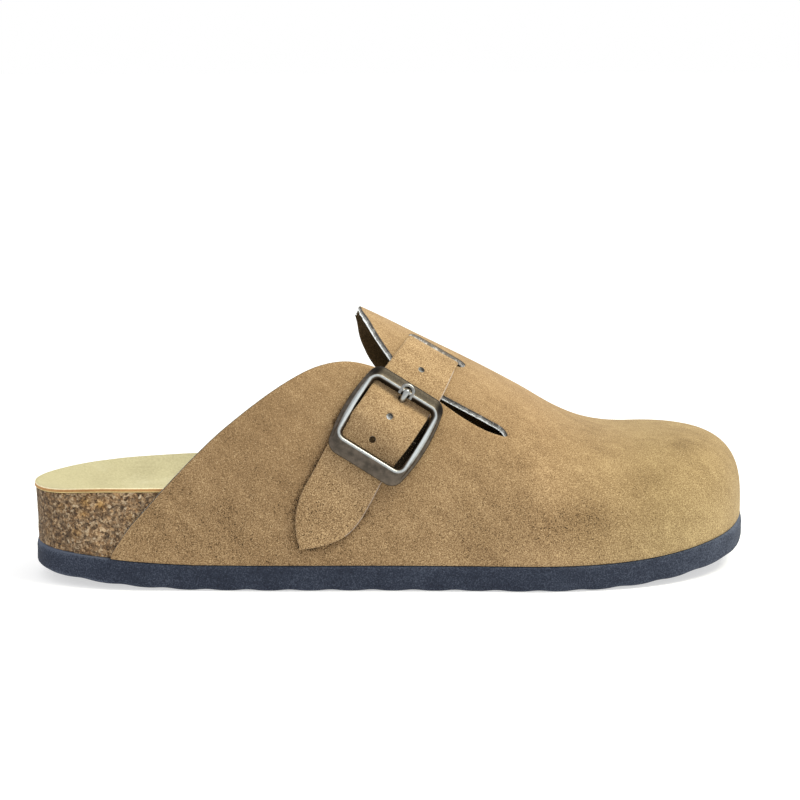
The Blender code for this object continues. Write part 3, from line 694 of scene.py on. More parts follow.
def settle(item):
    """Turns an object with its modifiers into a plain mesh."""
    graph = bpy.context.evaluated_depsgraph_get()
    mesh = bpy.data.meshes.new_from_object(item.evaluated_get(graph))
    item.modifiers.clear()
    item.data = mesh
    mesh.shade_smooth()
    return item


def cut_out(item, cutter):
    """Cuts another shape out of a piece and removes it."""
    change = item.modifiers.new("cut", "BOOLEAN")
    change.operation = "DIFFERENCE"
    change.solver = "EXACT"
    change.object = cutter
    settle(item)
    bpy.data.objects.remove(cutter, do_unlink=True)


def tag_cut(item, look, rim_at):
    """Sets the rim tag on the points of one look's faces, where rim_at gives a value for them."""
    mesh = item.data
    rims = mesh.attributes["rim"].data
    for v in {v for face in mesh.polygons if face.material_index == look for v in face.vertices}:
        rim = rim_at(np.array(mesh.vertices[v].co) / MM)
        if rim is not None:
            rims[v].value = rim


def dress(item, slot, *nodes):
    """Puts a finished piece on the shoe in place of the nodes that it stands for."""
    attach(item, "root")
    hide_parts(*nodes)


def grid_faces(rows, columns, start=0):
    """Faces of a grid of points, row after row."""
    faces = []
    for i in range(rows - 1):
        for j in range(columns - 1):
            a = start + i * columns + j
            faces.append((a, a + 1, a + columns + 1, a + columns))
    return faces


def closed_loop(lateral, medial):
    """A loop round the plan: the lateral side heel to toe, then the medial side back."""
    return np.concatenate([lateral, medial[-2:0:-1]])


def loft_loops(loops, count):
    """Faces between closed loops stacked one on the next."""
    faces = []
    for k in range(loops - 1):
        for i in range(count):
            j = (i + 1) % count
            faces.append((k * count + i, k * count + j, (k + 1) * count + j, (k + 1) * count + i))
    return faces


def rod_faces(loops, sides):
    """Faces of a closed rod: its loops joined, and both ends filled."""
    last = loops * sides
    return loft_loops(loops, sides) + [tuple(range(sides))[::-1], tuple(range(last - sides, last))]


Weld = namedtuple("Weld", "points faces first kept")


def welded(points, faces):
    """Points that coincide made one, collapsed faces dropped; first and kept are the rows that are left."""
    points = np.asarray(points, float)
    rounded = np.round(points, WELD_DIGITS)
    _, first, index = np.unique(rounded, axis=0, return_index=True, return_inverse=True)
    index = index.reshape(-1)
    left = []
    kept = []
    for row, face in enumerate(faces):
        corners = tuple(dict.fromkeys(int(index[v]) for v in face))
        if len(corners) > 2:
            left.append(corners)
            kept.append(row)
    return Weld(points[first], left, first, kept)


def triangles_of(faces):
    return np.array([(f[0], f[k], f[k + 1]) for f in faces for k in range(1, len(f) - 1)])


def face_normals(points, faces):
    """Normals at the points of a surface, weighed by area."""
    triangles = triangles_of(faces)
    corner = points[triangles]
    flat = np.cross(corner[:, 1] - corner[:, 0], corner[:, 2] - corner[:, 0])
    normals = np.zeros_like(points)
    for k in range(3):
        np.add.at(normals, triangles[:, k], flat)
    return unit_rows(normals)


def outward_faces(points, faces):
    """Faces of a closed shape turned to face outward, judged by its volume."""
    corner = points[triangles_of(faces)] - points.mean(0)
    volume = np.einsum("ij,ij->i", corner[:, 0], np.cross(corner[:, 1], corner[:, 2])).sum()
    return faces if volume > 0 else [face[::-1] for face in faces]


SUEDE_FACE, CUT_FACE, FLESH_FACE, PALE_FACE = range(4)
Shell = namedtuple("Shell", "points faces looks rims depth")
Rims = namedtuple("Rims", "edges points outward normals")
RIM_STEPS = (0.16, 0.5, 0.84)


def shell(points, faces, wall, bulge, bevel):
    """A wall of suede inside a surface, with softly rounded cut edges."""
    normals = face_normals(points, faces)
    count = len(points)
    edges = {}
    for face in faces:
        for k in range(len(face)):
            edges[(face[k], face[(k + 1) % len(face)])] = True
    border = [edge for edge in edges if (edge[1], edge[0]) not in edges]
    outward = np.zeros_like(points)
    for a, b in border:
        way = np.cross(points[b] - points[a], (normals[a] + normals[b]) / 2)
        outward[a] += way
        outward[b] += way
    outward = unit_rows(outward)
    inner = points - normals * wall
    bevelled = (outward[:, 2] < BEVEL_FACING) * (points[:, 2] > BEVEL_ABOVE)
    inner += outward * (bevel * bevelled)[:, None]
    on_border = sorted({v for edge in border for v in edge})
    places = [{v: v for v in on_border}]
    rows = [points, inner]
    depth = [np.zeros(count), np.ones(count)]
    start = 2 * count
    for t in RIM_STEPS:
        row = points[on_border] * (1 - t) + inner[on_border] * t
        row = row + outward[on_border] * bulge * math.sqrt(4 * t * (1 - t))
        rows.append(row)
        depth.append(np.full(len(row), t))
        places.append({v: start + k for k, v in enumerate(on_border)})
        start += len(on_border)
    places.append({v: count + v for v in on_border})
    made = list(faces)
    looks = [SUEDE_FACE] * len(faces)
    made += [tuple(count + v for v in reversed(face)) for face in faces]
    looks += [FLESH_FACE] * len(faces)
    for a, b in border:
        for near, far in zip(places, places[1:]):
            made.append((near[b], near[a], far[a], far[b]))
            looks.append(CUT_FACE)
    rims = Rims(border, points, outward, normals)
    return Shell(np.concatenate(rows), made, looks, rims, np.concatenate(depth))


# Looks: a speckle is a noise, and the depth of a bump is in millimetres
Speckle = namedtuple("Speckle", "scale detail rough")
Bump = namedtuple("Bump", "strength depth")


def start_look(name):
    look = bpy.data.materials.new(name)
    look.use_nodes = True
    look.node_tree.nodes.clear()
    return look, look.node_tree


def node(tree, kind, sockets=None, **settings):
    """Adds a node; each socket is set to a value or joined to another node's output."""
    made = tree.nodes.new(kind)
    for key, value in settings.items():
        setattr(made, key, value)
    for key, value in (sockets or {}).items():
        if isinstance(value, bpy.types.NodeSocket):
            tree.links.new(value, made.inputs[key])
        else:
            made.inputs[key].default_value = value
    return made


def object_place(tree):
    return node(tree, "ShaderNodeTexCoord").outputs["Object"]


def noise(tree, place, speckle, output="Fac"):
    sockets = {"Vector": place, "Scale": speckle.scale, "Detail": speckle.detail, "Roughness": speckle.rough}
    return node(tree, "ShaderNodeTexNoise", sockets).outputs[output]


def along_axis(tree, place, axis):
    return node(tree, "ShaderNodeSeparateXYZ", {0: place}).outputs[axis]


def stretched(tree, place, turn=(0.0, 0.0, 0.0), scale=(1.0, 1.0, 1.0)):
    sockets = {"Vector": place, "Rotation": turn, "Scale": scale}
    return node(tree, "ShaderNodeMapping", sockets).outputs["Vector"]


def maths(tree, operation, first, second=0.0, third=0.0):
    sockets = {0: first, 1: second, 2: third}
    return node(tree, "ShaderNodeMath", sockets, operation=operation).outputs[0]


def spread(tree, value, low, high):
    """A value moved from the range low to high onto 0 to 1."""
    sockets = {"Value": value, "From Min": low, "From Max": high}
    return node(tree, "ShaderNodeMapRange", sockets).outputs["Result"]


def mixed(tree, share, first, second, blend="MIX"):
    made = node(tree, "ShaderNodeMix", data_type="RGBA", blend_type=blend)
    for socket, value in zip((made.inputs[0], made.inputs[6], made.inputs[7]), (share, first, second)):
        if isinstance(value, bpy.types.NodeSocket):
            tree.links.new(value, socket)
        else:
            socket.default_value = value
    return made.outputs[2]


def ramp(tree, value, stops):
    made = node(tree, "ShaderNodeValToRGB", {"Fac": value})
    line = made.color_ramp.elements
    line[0].position, line[0].color = stops[0][0], (*stops[0][1], 1)
    line[1].position, line[1].color = stops[-1][0], (*stops[-1][1], 1)
    for at, colour in stops[1:-1]:
        line.new(at).color = (*colour, 1)
    return made.outputs["Color"]


def bumped(tree, height, bump):
    sockets = {"Height": height, "Strength": bump.strength, "Distance": bump.depth * MM}
    return node(tree, "ShaderNodeBump", sockets).outputs["Normal"]


def shade(tree, colour, normal, roughness, sockets=None):
    filled = {"Base Color": colour, "Normal": normal, "Roughness": roughness}
    filled.update(sockets or {})
    shader = node(tree, "ShaderNodeBsdfPrincipled", filled)
    node(tree, "ShaderNodeOutputMaterial", {"Surface": shader.outputs[0]})


def tag(tree, name):
    return node(tree, "ShaderNodeAttribute", attribute_name=name).outputs["Fac"]


NAP = Speckle(2400.0, 1.5, 0.6)
NAP_TIPS = Speckle(3500.0, 1.0, 0.5)
BRUSHED = Speckle(230.0, 2.0, 0.55)
SUEDE_CLOUDS = Speckle(60.0, 3.0, 0.5)
NAP_SLANT = 42.0
BRUSHED_LONG = (1.0, 1.0, 0.3)
TIPS_SHARE = 0.5
NAP_MEAN = 0.75
SUEDE_MEAN = 0.5
BRUSHED_SHARE = 0.3
SUEDE_CLOUDS_SHARE = 0.26
SUEDE_LEVEL = -0.28
TIPS_PALER = 1.35
GRAIN = 1.0
GRAIN_MORE = 0.7
GRAIN_SOFT_AT = 65.0
GRAIN_FULL_AT = 20.0
GRAIN_TOE = -0.3
GRAIN_STRAP = 0.45
GLINT_FROM = 0.66
GLINT_FULL = 0.8
NAP_BUMP = Bump(0.4, 0.25)
SUEDE_SHEEN = 0.12
SHEEN_ROUGH = 0.5
SUEDE_ROUGH = 0.95
SUEDE_SHINE = 0.12


def tips_of(light):
    """The colour of the palest tips of a nap."""
    return tuple(TIPS_PALER * part for part in light)


def suede_look(name, shadow, dark, middle, light, sheen, toned=True):
    """Brushed nap: fine pale and dark tips, short slanting streaks and wide soft clouds."""
    look, tree = start_look(name)
    place = object_place(tree)
    turned = stretched(tree, place, turn=(0.0, math.radians(NAP_SLANT), 0.0))
    slant = stretched(tree, turned, scale=BRUSHED_LONG)
    nap = noise(tree, place, NAP)
    tips = noise(tree, place, NAP_TIPS)
    brushed = noise(tree, slant, BRUSHED)
    cloud = noise(tree, place, SUEDE_CLOUDS)
    height = maths(tree, "MULTIPLY_ADD", tips, TIPS_SHARE, nap)
    low = spread(tree, along_axis(tree, place, "Z"), GRAIN_SOFT_AT * MM, GRAIN_FULL_AT * MM)
    grain = maths(tree, "MULTIPLY_ADD", low, GRAIN_MORE, GRAIN)
    if toned:
        grain = maths(tree, "MULTIPLY_ADD", tag(tree, "olive"), GRAIN_TOE, grain)
        grain = maths(tree, "MULTIPLY_ADD", tag(tree, "rough"), GRAIN_STRAP, grain)
    level = maths(tree, "ADD", height, -NAP_MEAN)
    level = maths(tree, "MULTIPLY_ADD", level, grain, SUEDE_MEAN)
    level = maths(tree, "MULTIPLY_ADD", brushed, BRUSHED_SHARE, level)
    level = maths(tree, "MULTIPLY_ADD", cloud, SUEDE_CLOUDS_SHARE, level)
    level = maths(tree, "ADD", level, SUEDE_LEVEL)
    if toned:
        level = maths(tree, "ADD", level, tag(tree, "tone"))
    stops = [(0.0, shadow), (0.22, dark), (0.5, middle), (0.75, light), (1.0, tips_of(light))]
    colour = ramp(tree, level, stops)
    if toned:
        colour = mixed(tree, tag(tree, "olive"), colour, OLIVE, "MULTIPLY")
        # Pale nap tips, partly painted glints of light
        glints = spread(tree, tips, GLINT_FROM, GLINT_FULL)
        colour = mixed(tree, glints, colour, (*SUEDE_TIPS, 1))
    soft = {"Sheen Weight": sheen, "Sheen Roughness": SHEEN_ROUGH, "Sheen Tint": SHEEN_TINT}
    soft["Specular IOR Level"] = SUEDE_SHINE
    shade(tree, colour, bumped(tree, height, NAP_BUMP), SUEDE_ROUGH, soft)
    return look


RAW_FIBRES = Speckle(1700.0, 3.0, 0.65)
RAW_PATCHES = Speckle(520.0, 2.0, 0.6)
RAW_FIBRES_SHARE = 0.5
RAW_PATCHES_SHARE = 0.7
RAW_LEVEL = -0.6
RAW_BUMP = Bump(0.8, 0.3)
RAW_ROUGH = 0.95
RAW_SHINE = 0.1
GLOW_FROM = 0.5
GLOW_FULL = 0.72
FUZZ_GLOW = 0.28


def cut_edge_look():
    """The raw edge of the suede: a dark outer line, grey fibres, and pale fuzz at the inner border that
    glows with painted light.
    """
    look, tree = start_look("raw cut edge")
    place = object_place(tree)
    fibres = noise(tree, place, RAW_FIBRES)
    patches = noise(tree, place, RAW_PATCHES)
    level = maths(tree, "MULTIPLY_ADD", fibres, RAW_FIBRES_SHARE, tag(tree, "rim"))
    level = maths(tree, "MULTIPLY_ADD", patches, RAW_PATCHES_SHARE, level)
    level = maths(tree, "ADD", level, RAW_LEVEL)
    stops = [(0.15, RIM_OUTER), (0.28, RIM_MIDDLE), (0.5, RIM_MIDDLE), (0.7, RIM_INNER)]
    colour = ramp(tree, level, stops)
    # Painted light: the palest fuzz glows, though it is no lamp
    painted_glow = maths(tree, "MULTIPLY", spread(tree, level, GLOW_FROM, GLOW_FULL), FUZZ_GLOW)
    fuzz = {"Specular IOR Level": RAW_SHINE, "Emission Color": (*RIM_INNER, 1), "Emission Strength": painted_glow}
    shade(tree, colour, bumped(tree, fibres, RAW_BUMP), RAW_ROUGH, fuzz)
    return look


FUZZ_MIX = Speckle(900.0, 2.0, 0.55)
FUZZ_FINE = Speckle(3000.0, 2.0, 0.55)
FUZZ_BUMP = Bump(0.1, 0.02)
FUZZ_ROUGH = 0.9


def fuzz_look():
    """Loose fibres, pale and darker in turn."""
    look, tree = start_look("loose fibres")
    place = object_place(tree)
    colour = ramp(tree, noise(tree, place, FUZZ_MIX), [(0.35, FUZZ_DARK), (0.65, FUZZ_LIGHT)])
    shade(tree, colour, bumped(tree, noise(tree, place, FUZZ_FINE), FUZZ_BUMP), FUZZ_ROUGH)
    return look


CORK_STIR = Speckle(700.0, 2.0, 0.5)
CORK_FINE = Speckle(2300.0, 2.0, 0.6)
AMBER_PATCHES = Speckle(170.0, 2.0, 0.5)
Crumb = namedtuple("Crumb", "scale turn share")
CRUMBS = [
    Crumb(950.0, (0.0, 0.5, 0.3), 0.44),
    Crumb(1500.0, (0.2, -0.7, 0.9), 0.4),
]
CRUMB_STIR = 0.9
CORK_FINE_SHARE = 0.55
CORK_LEVEL = -0.2
CORK_TINT = 0.8
AMBER_FROM = 0.58
AMBER_FULL = 0.72
AMBER_SHARE = 0.4
HEEL_DARK_FROM = -112.0
HEEL_DARK_FULL = -136.0
HEEL_DARK = 0.4
CORK_BUMP = Bump(0.8, 0.35)
CORK_ROUGH = 0.8
CORK_SHINE = 0.25


def cork_look():
    """Pressed cork: crumbs of tan and amber, lying all ways in a dark brown ground."""
    look, tree = start_look("pressed cork")
    place = object_place(tree)
    stir = noise(tree, place, CORK_STIR, "Color")
    sockets = {0: stir, 1: (CRUMB_STIR * MM, CRUMB_STIR * MM, CRUMB_STIR * MM), 2: place}
    stirred = node(tree, "ShaderNodeVectorMath", sockets, operation="MULTIPLY_ADD").outputs["Vector"]
    level = maths(tree, "MULTIPLY_ADD", noise(tree, place, CORK_FINE), CORK_FINE_SHARE, CORK_LEVEL)
    tint = None
    for crumb in CRUMBS:
        lying = stretched(tree, stirred, crumb.turn)
        sockets = {"Vector": lying, "Scale": crumb.scale}
        grain = node(tree, "ShaderNodeTexVoronoi", sockets, feature="F1").outputs["Color"]
        grain = node(tree, "ShaderNodeSeparateColor", {"Color": grain}).outputs
        level = maths(tree, "MULTIPLY_ADD", grain["Red"], crumb.share, level)
        tint = tint or ramp(tree, grain["Blue"], [(0.0, CORK_WARM), (0.5, CORK_PLAIN), (1.0, CORK_COOL)])
    stops = [(0.08, CORK_GAP), (0.28, CORK_DARK), (0.5, CORK_MIDDLE), (0.7, CORK_TAN), (0.92, CORK_PALE)]
    ground = mixed(tree, CORK_TINT, ramp(tree, level, stops), tint, "MULTIPLY")
    patch = spread(tree, noise(tree, place, AMBER_PATCHES), AMBER_FROM, AMBER_FULL)
    patch = maths(tree, "MULTIPLY_ADD", patch, AMBER_SHARE, tag(tree, "amber"))
    amber = ramp(tree, level, [(0.05, CORK_GAP), (0.35, CORK_AMBER_DARK), (0.75, CORK_AMBER)])
    colour = mixed(tree, patch, ground, amber)
    heel = spread(tree, along_axis(tree, place, "X"), HEEL_DARK_FROM * MM, HEEL_DARK_FULL * MM)
    colour = mixed(tree, maths(tree, "MULTIPLY", heel, HEEL_DARK), colour, (*CORK_GAP, 1))
    shade(tree, colour, bumped(tree, level, CORK_BUMP), CORK_ROUGH, {"Specular IOR Level": CORK_SHINE})
    return look


FOAM_SPECKS = Speckle(2000.0, 2.0, 0.7)
FOAM_CLOUDS = Speckle(70.0, 3.0, 0.55)
FOAM_SCUFFS = Speckle(420.0, 3.0, 0.6)
SCUFFS_LONG = (0.25, 0.25, 1.0)
SPECKS_SHARE = 0.95
FOAM_CLOUDS_SHARE = 0.3
SCUFFS_SHARE = 0.2
SCUFFS_DEEP = 0.6
FOAM_LEVEL = -0.1
FOAM_BUMP = Bump(0.6, 0.2)
FOAM_ROUGH = 0.8
FOAM_SHINE = 0.15


def foam_look():
    """Dark blue foam rubber, dry and finely speckled, with a painted highlight along its top rim."""
    look, tree = start_look("navy foam")
    place = object_place(tree)
    speck = noise(tree, place, FOAM_SPECKS)
    cloud = noise(tree, place, FOAM_CLOUDS)
    scuffs = noise(tree, stretched(tree, place, scale=SCUFFS_LONG), FOAM_SCUFFS)
    level = maths(tree, "MULTIPLY", speck, SPECKS_SHARE)
    level = maths(tree, "MULTIPLY_ADD", cloud, FOAM_CLOUDS_SHARE, level)
    level = maths(tree, "MULTIPLY_ADD", scuffs, SCUFFS_SHARE, level)
    level = maths(tree, "ADD", level, tag(tree, "wear"))
    level = maths(tree, "ADD", level, FOAM_LEVEL)
    colour = ramp(tree, level, [(0.4, FOAM_DARK), (0.62, FOAM), (0.98, FOAM_PALE)])
    height = maths(tree, "MULTIPLY_ADD", scuffs, SCUFFS_DEEP, speck)
    shade(tree, colour, bumped(tree, height, FOAM_BUMP), FOAM_ROUGH, {"Specular IOR Level": FOAM_SHINE})
    return look


MOTTLE_CLOUDS = 0.8
BAND_FINE = Speckle(900.0, 3.0, 0.6)
STRAP_EDGE_FINE = Speckle(1500.0, 3.0, 0.6)
CLOTH_CLOUDS = Speckle(45.0, 3.0, 0.5)
CLOTH_BUMP = Bump(0.4, 0.2)
CLOTH_ROUGH = 0.92
CLOTH_SHINE = 0.15


def mottled(tree, fine, cloud, dark, light):
    """A colour between two close ones, by a fine and a cloudy speckle together."""
    level = maths(tree, "MULTIPLY_ADD", cloud, MOTTLE_CLOUDS, fine)
    level = maths(tree, "DIVIDE", level, 1 + MOTTLE_CLOUDS)
    return ramp(tree, level, [(0.34, dark), (0.66, light)])


def plain_cloth_look(name, dark, light, speckle=BAND_FINE):
    """A dry layer, finely mottled between two close colours."""
    look, tree = start_look(name)
    place = object_place(tree)
    fine = noise(tree, place, speckle)
    colour = mottled(tree, fine, noise(tree, place, CLOTH_CLOUDS), dark, light)
    shade(tree, colour, bumped(tree, fine, CLOTH_BUMP), CLOTH_ROUGH, {"Specular IOR Level": CLOTH_SHINE})
    return look


CREAM_FINE = Speckle(1300.0, 3.0, 0.6)
CREAM_CLOUDS = Speckle(60.0, 3.0, 0.55)
CREAM_RUBS = Speckle(85.0, 3.0, 0.6)
RUBS_LONG = (0.5, 1.0, 1.0)
RUBS_FROM = 0.52
RUBS_FULL = 0.8
RUBS_SHARE = 0.35
HEEL_PAINTED_SHADE_FROM = -95.0
HEEL_PAINTED_SHADE_FULL = -130.0
HEEL_PAINTED_SHADE = 0.45
CREAM_BUMP = Bump(0.4, 0.15)


def insole_look():
    """Cream suede, rubbed paler here and there, and darkened with painted shade at the heel."""
    look, tree = start_look("cream insole")
    place = object_place(tree)
    fine = noise(tree, place, CREAM_FINE)
    colour = mottled(tree, fine, noise(tree, place, CREAM_CLOUDS), CREAM_DARK, CREAM_LIGHT)
    rubs = noise(tree, stretched(tree, place, scale=RUBS_LONG), CREAM_RUBS)
    rubbed = maths(tree, "MULTIPLY", spread(tree, rubs, RUBS_FROM, RUBS_FULL), RUBS_SHARE)
    colour = mixed(tree, rubbed, colour, (*CREAM_RUBBED, 1))
    heel = spread(tree, along_axis(tree, place, "X"), HEEL_PAINTED_SHADE_FROM * MM, HEEL_PAINTED_SHADE_FULL * MM)
    colour = mixed(tree, maths(tree, "MULTIPLY", heel, HEEL_PAINTED_SHADE), colour, (*CREAM_DARK, 1))
    shade(tree, colour, bumped(tree, fine, CREAM_BUMP), CLOTH_ROUGH, {"Specular IOR Level": CLOTH_SHINE})
    return look


METAL_CLOUDS = Speckle(420.0, 3.0, 0.6)
METAL_SPOTS = Speckle(1500.0, 2.0, 0.6)
SPOTS_SHARE = 0.3
SPOTS_LOW = 0.3
SPOTS_HIGH = 0.7
RUBBED_AND_HIGHLIGHT_FROM = 0.3
RUBBED_AND_HIGHLIGHT_FULL = 1.1
METAL_SMOOTH = 0.3
METAL_ROUGH = 0.42
METAL_BUMP = Bump(0.2, 0.1)


def metal_look():
    """Dark satin bronze: rubbed bright, with painted highlights and reflections, where it is tagged high,
    and painted shade where it is tagged low, as where it is hidden.
    """
    look, tree = start_look("satin bronze")
    place = object_place(tree)
    cloud = noise(tree, place, METAL_CLOUDS)
    spots = noise(tree, place, METAL_SPOTS)
    colour = ramp(tree, cloud, [(0.35, METAL_DARK), (0.65, METAL_LIGHT)])
    worn = tag(tree, "worn")
    # Rubbed bronze and painted highlights where the tag is high
    rubbed = maths(tree, "MULTIPLY_ADD", spots, SPOTS_SHARE, worn)
    rubbed = spread(tree, rubbed, RUBBED_AND_HIGHLIGHT_FROM, RUBBED_AND_HIGHLIGHT_FULL)
    colour = mixed(tree, rubbed, colour, (*METAL_RUBBED_AND_HIGHLIGHT, 1))
    # Painted shade where the tag is below zero
    colour = mixed(tree, spread(tree, worn, 0.0, -1.0), colour, (*METAL_SHADE, 1))
    sockets = {"Value": spots, "From Min": SPOTS_LOW, "From Max": SPOTS_HIGH}
    sockets.update({"To Min": METAL_SMOOTH, "To Max": METAL_ROUGH})
    roughness = node(tree, "ShaderNodeMapRange", sockets).outputs["Result"]
    height = maths(tree, "MULTIPLY_ADD", spots, SPOTS_SHARE, cloud)
    shade(tree, colour, bumped(tree, height, METAL_BUMP), roughness, {"Metallic": 1.0})
    return look


# Sole, footbed and insole


def tread_height(x):
    """Depth of the main tread grooves, with sloped walls."""
    place = np.mod(x - GROOVE_FIRST + GROOVE_PITCH / 2, GROOVE_PITCH) - GROOVE_PITCH / 2
    depth = GROOVE_DEPTH * np.clip((GROOVE_WIDTH / 2 - np.abs(place)) / GROOVE_WALL, 0, 1)
    ends = (x > GROOVE_FIRST - GROOVE_PITCH / 2) & (x < GROOVE_LAST + GROOVE_PITCH / 2)
    return np.where(ends, depth, 0.0)


def wave_height(x, y):
    """Fine wavy grooves on the lands between the main ones."""
    place = np.mod(x - GROOVE_FIRST + WAVE_SWING * np.sin(2 * math.pi * y / WAVE_LENGTH), GROOVE_PITCH)
    depth = np.zeros_like(place)
    for middle in WAVE_PLACES:
        away = np.abs(place - middle)
        depth = np.maximum(depth, WAVE_DEPTH * np.clip((WAVE_WIDTH / 2 - away) / WAVE_WALL, 0, 1))
    ends = (x > GROOVE_FIRST) & (x < GROOVE_LAST)
    return np.where(ends, depth, 0.0)


# The sole's wall from the tread up to its top rim
Wall = namedtuple("Wall", "inset up cut scallop wear")
# The last column sets how pale each step is: slightly darker near the tread, and a painted highlight at the
# top rim
SOLE_WALL = [
    Wall(SOLE_EDGE_ROUND + 2.6, 0.0, 1.0, 0.0, -0.05),
    Wall(SOLE_EDGE_ROUND + 1.5, 0.0, 0.5, 0.5, -0.05),
    Wall(SOLE_EDGE_ROUND * 0.75, 0.12, 0.0, 1.0, 0.0),
    Wall(SOLE_EDGE_ROUND * 0.32, 0.45, 0.0, 0.8, 0.04),
    Wall(SOLE_EDGE_ROUND * 0.08, 0.95, 0.0, 0.6, 0.04),
    Wall(0.0, SOLE_EDGE_ROUND, 0.0, 0.4, 0.0),
    Wall(0.0, SOLE_EDGE_ROUND + 1.2, 0.0, 0.15, 0.0),
    Wall(0.05, SOLE_THICK * 0.5, 0.0, 0.0, 0.0),
    Wall(0.05, SOLE_THICK * 0.75, 0.0, 0.0, 0.0),
    Wall(0.0, SOLE_THICK - 0.75, 0.0, 0.0, 0.02),
    Wall(0.12, SOLE_THICK - 0.3, 0.0, 0.0, 0.04),
    Wall(0.42, SOLE_THICK - 0.04, 0.0, 0.0, 0.13),
    Wall(0.9, SOLE_THICK, 0.0, 0.0, 0.2),
]
HEEL_TRIM = 0.5
HEEL_TRIM_FROM = -118.0
HEEL_TRIM_RUN = 18.0
SCALLOP = 0.42
SCALLOP_POWER = 1.5
BARE_RIM = 2.1875
BARE_RIM_RUN = 3.0
TREAD_WEAR = -0.05
TREAD_FADE = 0.06
# Painted light towards the toe
TOE_PAINTED_LIGHT = 0.1
TOE_PAINTED_LIGHT_FROM = 80.0
TOE_PAINTED_LIGHT_RUN = 45.0
TOE_ROLL = 2.6
TOE_ROLL_FROM = 116.0
TOE_ROLL_RUN = 16.0
HEEL_ROLL = 1.9
HEEL_ROLL_FROM = -120.0
HEEL_ROLL_RUN = 14.0
ROLL_FROM = 0.5
ROLL_RUN = 0.4
SOLE_CREASE = 50


def sole_cut(x, step):
    """How far the tread rises into the sole at one step of its wall: full grooves, or soft scallops."""
    wave = (1 + np.cos(2 * math.pi * (x - GROOVE_FIRST) / GROOVE_PITCH)) / 2
    return step.cut * tread_height(x) + step.scallop * SCALLOP * wave ** SCALLOP_POWER


def end_roll(x, step):
    """How far the sole's top edge rolls down at the tip of the toe and at the back of the heel."""
    near_top = rising(step.up / SOLE_THICK, ROLL_FROM, ROLL_RUN)
    toe = TOE_ROLL * rising(x, TOE_ROLL_FROM, TOE_ROLL_RUN)
    heel = HEEL_ROLL * rising(x, HEEL_ROLL_FROM, -HEEL_ROLL_RUN)
    return (toe + heel) * near_top * (1 - step.inset / SOLE_WALL[-1].inset) ** 2


def sole_loop(turns, step):
    """One step of the sole's wall, all round."""
    sides = []
    for side in (-1, 1):
        x, y = outline(turns, side, step.inset)
        height = lift(x) + step.up + sole_cut(x, step) - end_roll(x, step)
        sides.append(np.stack([x, y, height], -1))
    loop = closed_loop(*sides)
    loop[:, 0] += HEEL_TRIM * rising(loop[:, 0], HEEL_TRIM_FROM, -HEEL_TRIM_RUN) ** 2
    return loop


def sole_paleness(loop, step):
    """How pale one step of the sole's wall is: a painted highlight on its top rim, stronger where the rim is
    bare, and painted light towards the toe.
    """
    bare = rising(loop[:, 0], LATERAL_BACK, -BARE_RIM_RUN)
    toe = rising(loop[:, 0], TOE_PAINTED_LIGHT_FROM, TOE_PAINTED_LIGHT_RUN)
    return step.wear * (1 + bare * BARE_RIM) + TOE_PAINTED_LIGHT * toe


def make_outsole(foam):
    """The foam sole: its wall as loops, closed by the grooved tread below and a flat top."""
    turns = np.linspace(0.0, math.pi, SOLE_STEPS)
    loops = [sole_loop(turns, step) for step in SOLE_WALL]
    wear = np.concatenate([sole_paleness(loop, step) for loop, step in zip(loops, SOLE_WALL)])
    faces = loft_loops(len(loops), len(loops[0]))
    points = np.concatenate(loops)
    share = np.linspace(0, 1, SOLE_COLUMNS)
    for loop, tread in ((loops[0], True), (loops[-1], False)):
        lateral = loop[:SOLE_STEPS]
        toe_point = loop[SOLE_STEPS - 1:SOLE_STEPS]
        medial = np.concatenate([loop[:1], loop[:SOLE_STEPS - 1:-1], toe_point])
        columns = share if tread else share[:: SOLE_COLUMNS - 1]
        grid = lateral[:, None] * (1 - columns[:, None]) + medial[:, None] * columns[:, None]
        if tread:
            fade = np.clip(np.minimum(columns, 1 - columns) / TREAD_FADE, 0, 1)
            fine = wave_height(grid[..., 0], grid[..., 1])
            deep = tread_height(grid[..., 0])
            grid[..., 2] += np.maximum(fine - deep, 0) * fade
        made = grid_faces(SOLE_STEPS, len(columns), len(points))
        faces += made if tread else [face[::-1] for face in made]
        points = np.concatenate([points, grid.reshape(-1, 3)])
        wear = np.concatenate([wear, np.full(grid[..., 0].size, TREAD_WEAR)])
    weld = welded(points, faces)
    tags = {"wear": wear[weld.first]}
    faces = outward_faces(weld.points, weld.faces)
    return new_piece("foam_sole", weld.points, faces, [foam], tags=tags, sharp=SOLE_CREASE)


def bed_sides(turns, share):
    """The footbed's wall at a share of its height, lateral and medial."""
    lean = along_plan(BED, "lean", turns)
    foot = table(CORK_EDGE, "x", "inset", -LENGTH / 2 * np.cos(turns))
    sides = []
    for side in (-1, 1):
        x, y = outline(turns, side, foot + lean * share ** 2)
        low = SOLE_THICK + GAP + lift(x)
        top = along_plan(BED, "medial" if side > 0 else "lateral", turns)
        sides.append(np.stack([x, y, low + (top - low) * share], -1))
    return sides


def bed_grid(turns, raised):
    """The cupped top of the footbed, raised by a height: rows of points from lateral to medial."""
    lateral, medial = bed_sides(turns, 1.0)
    cup = along_plan(BED, "cup", turns)
    across = -np.cos(np.linspace(0, math.pi, BED_COLUMNS))
    grid = []
    for c in across:
        share = (c + 1) / 2
        points = lateral * (1 - share) + medial * share
        points[:, 2] += raised - cup * (1 - abs(c) ** CUP_POWER)
        grid.append(points)
    return np.stack(grid, 1)


def bed_turns():
    """Stations of the footbed: close together at the heel, where the cork shows."""
    shown = np.linspace(0.0, float(turn_of(CORK_SHOWS_TO)), HEEL_STEPS)
    hidden = np.linspace(float(turn_of(CORK_SHOWS_TO)), math.pi, HIDDEN_STEPS)
    return np.concatenate([shown, hidden[1:]])


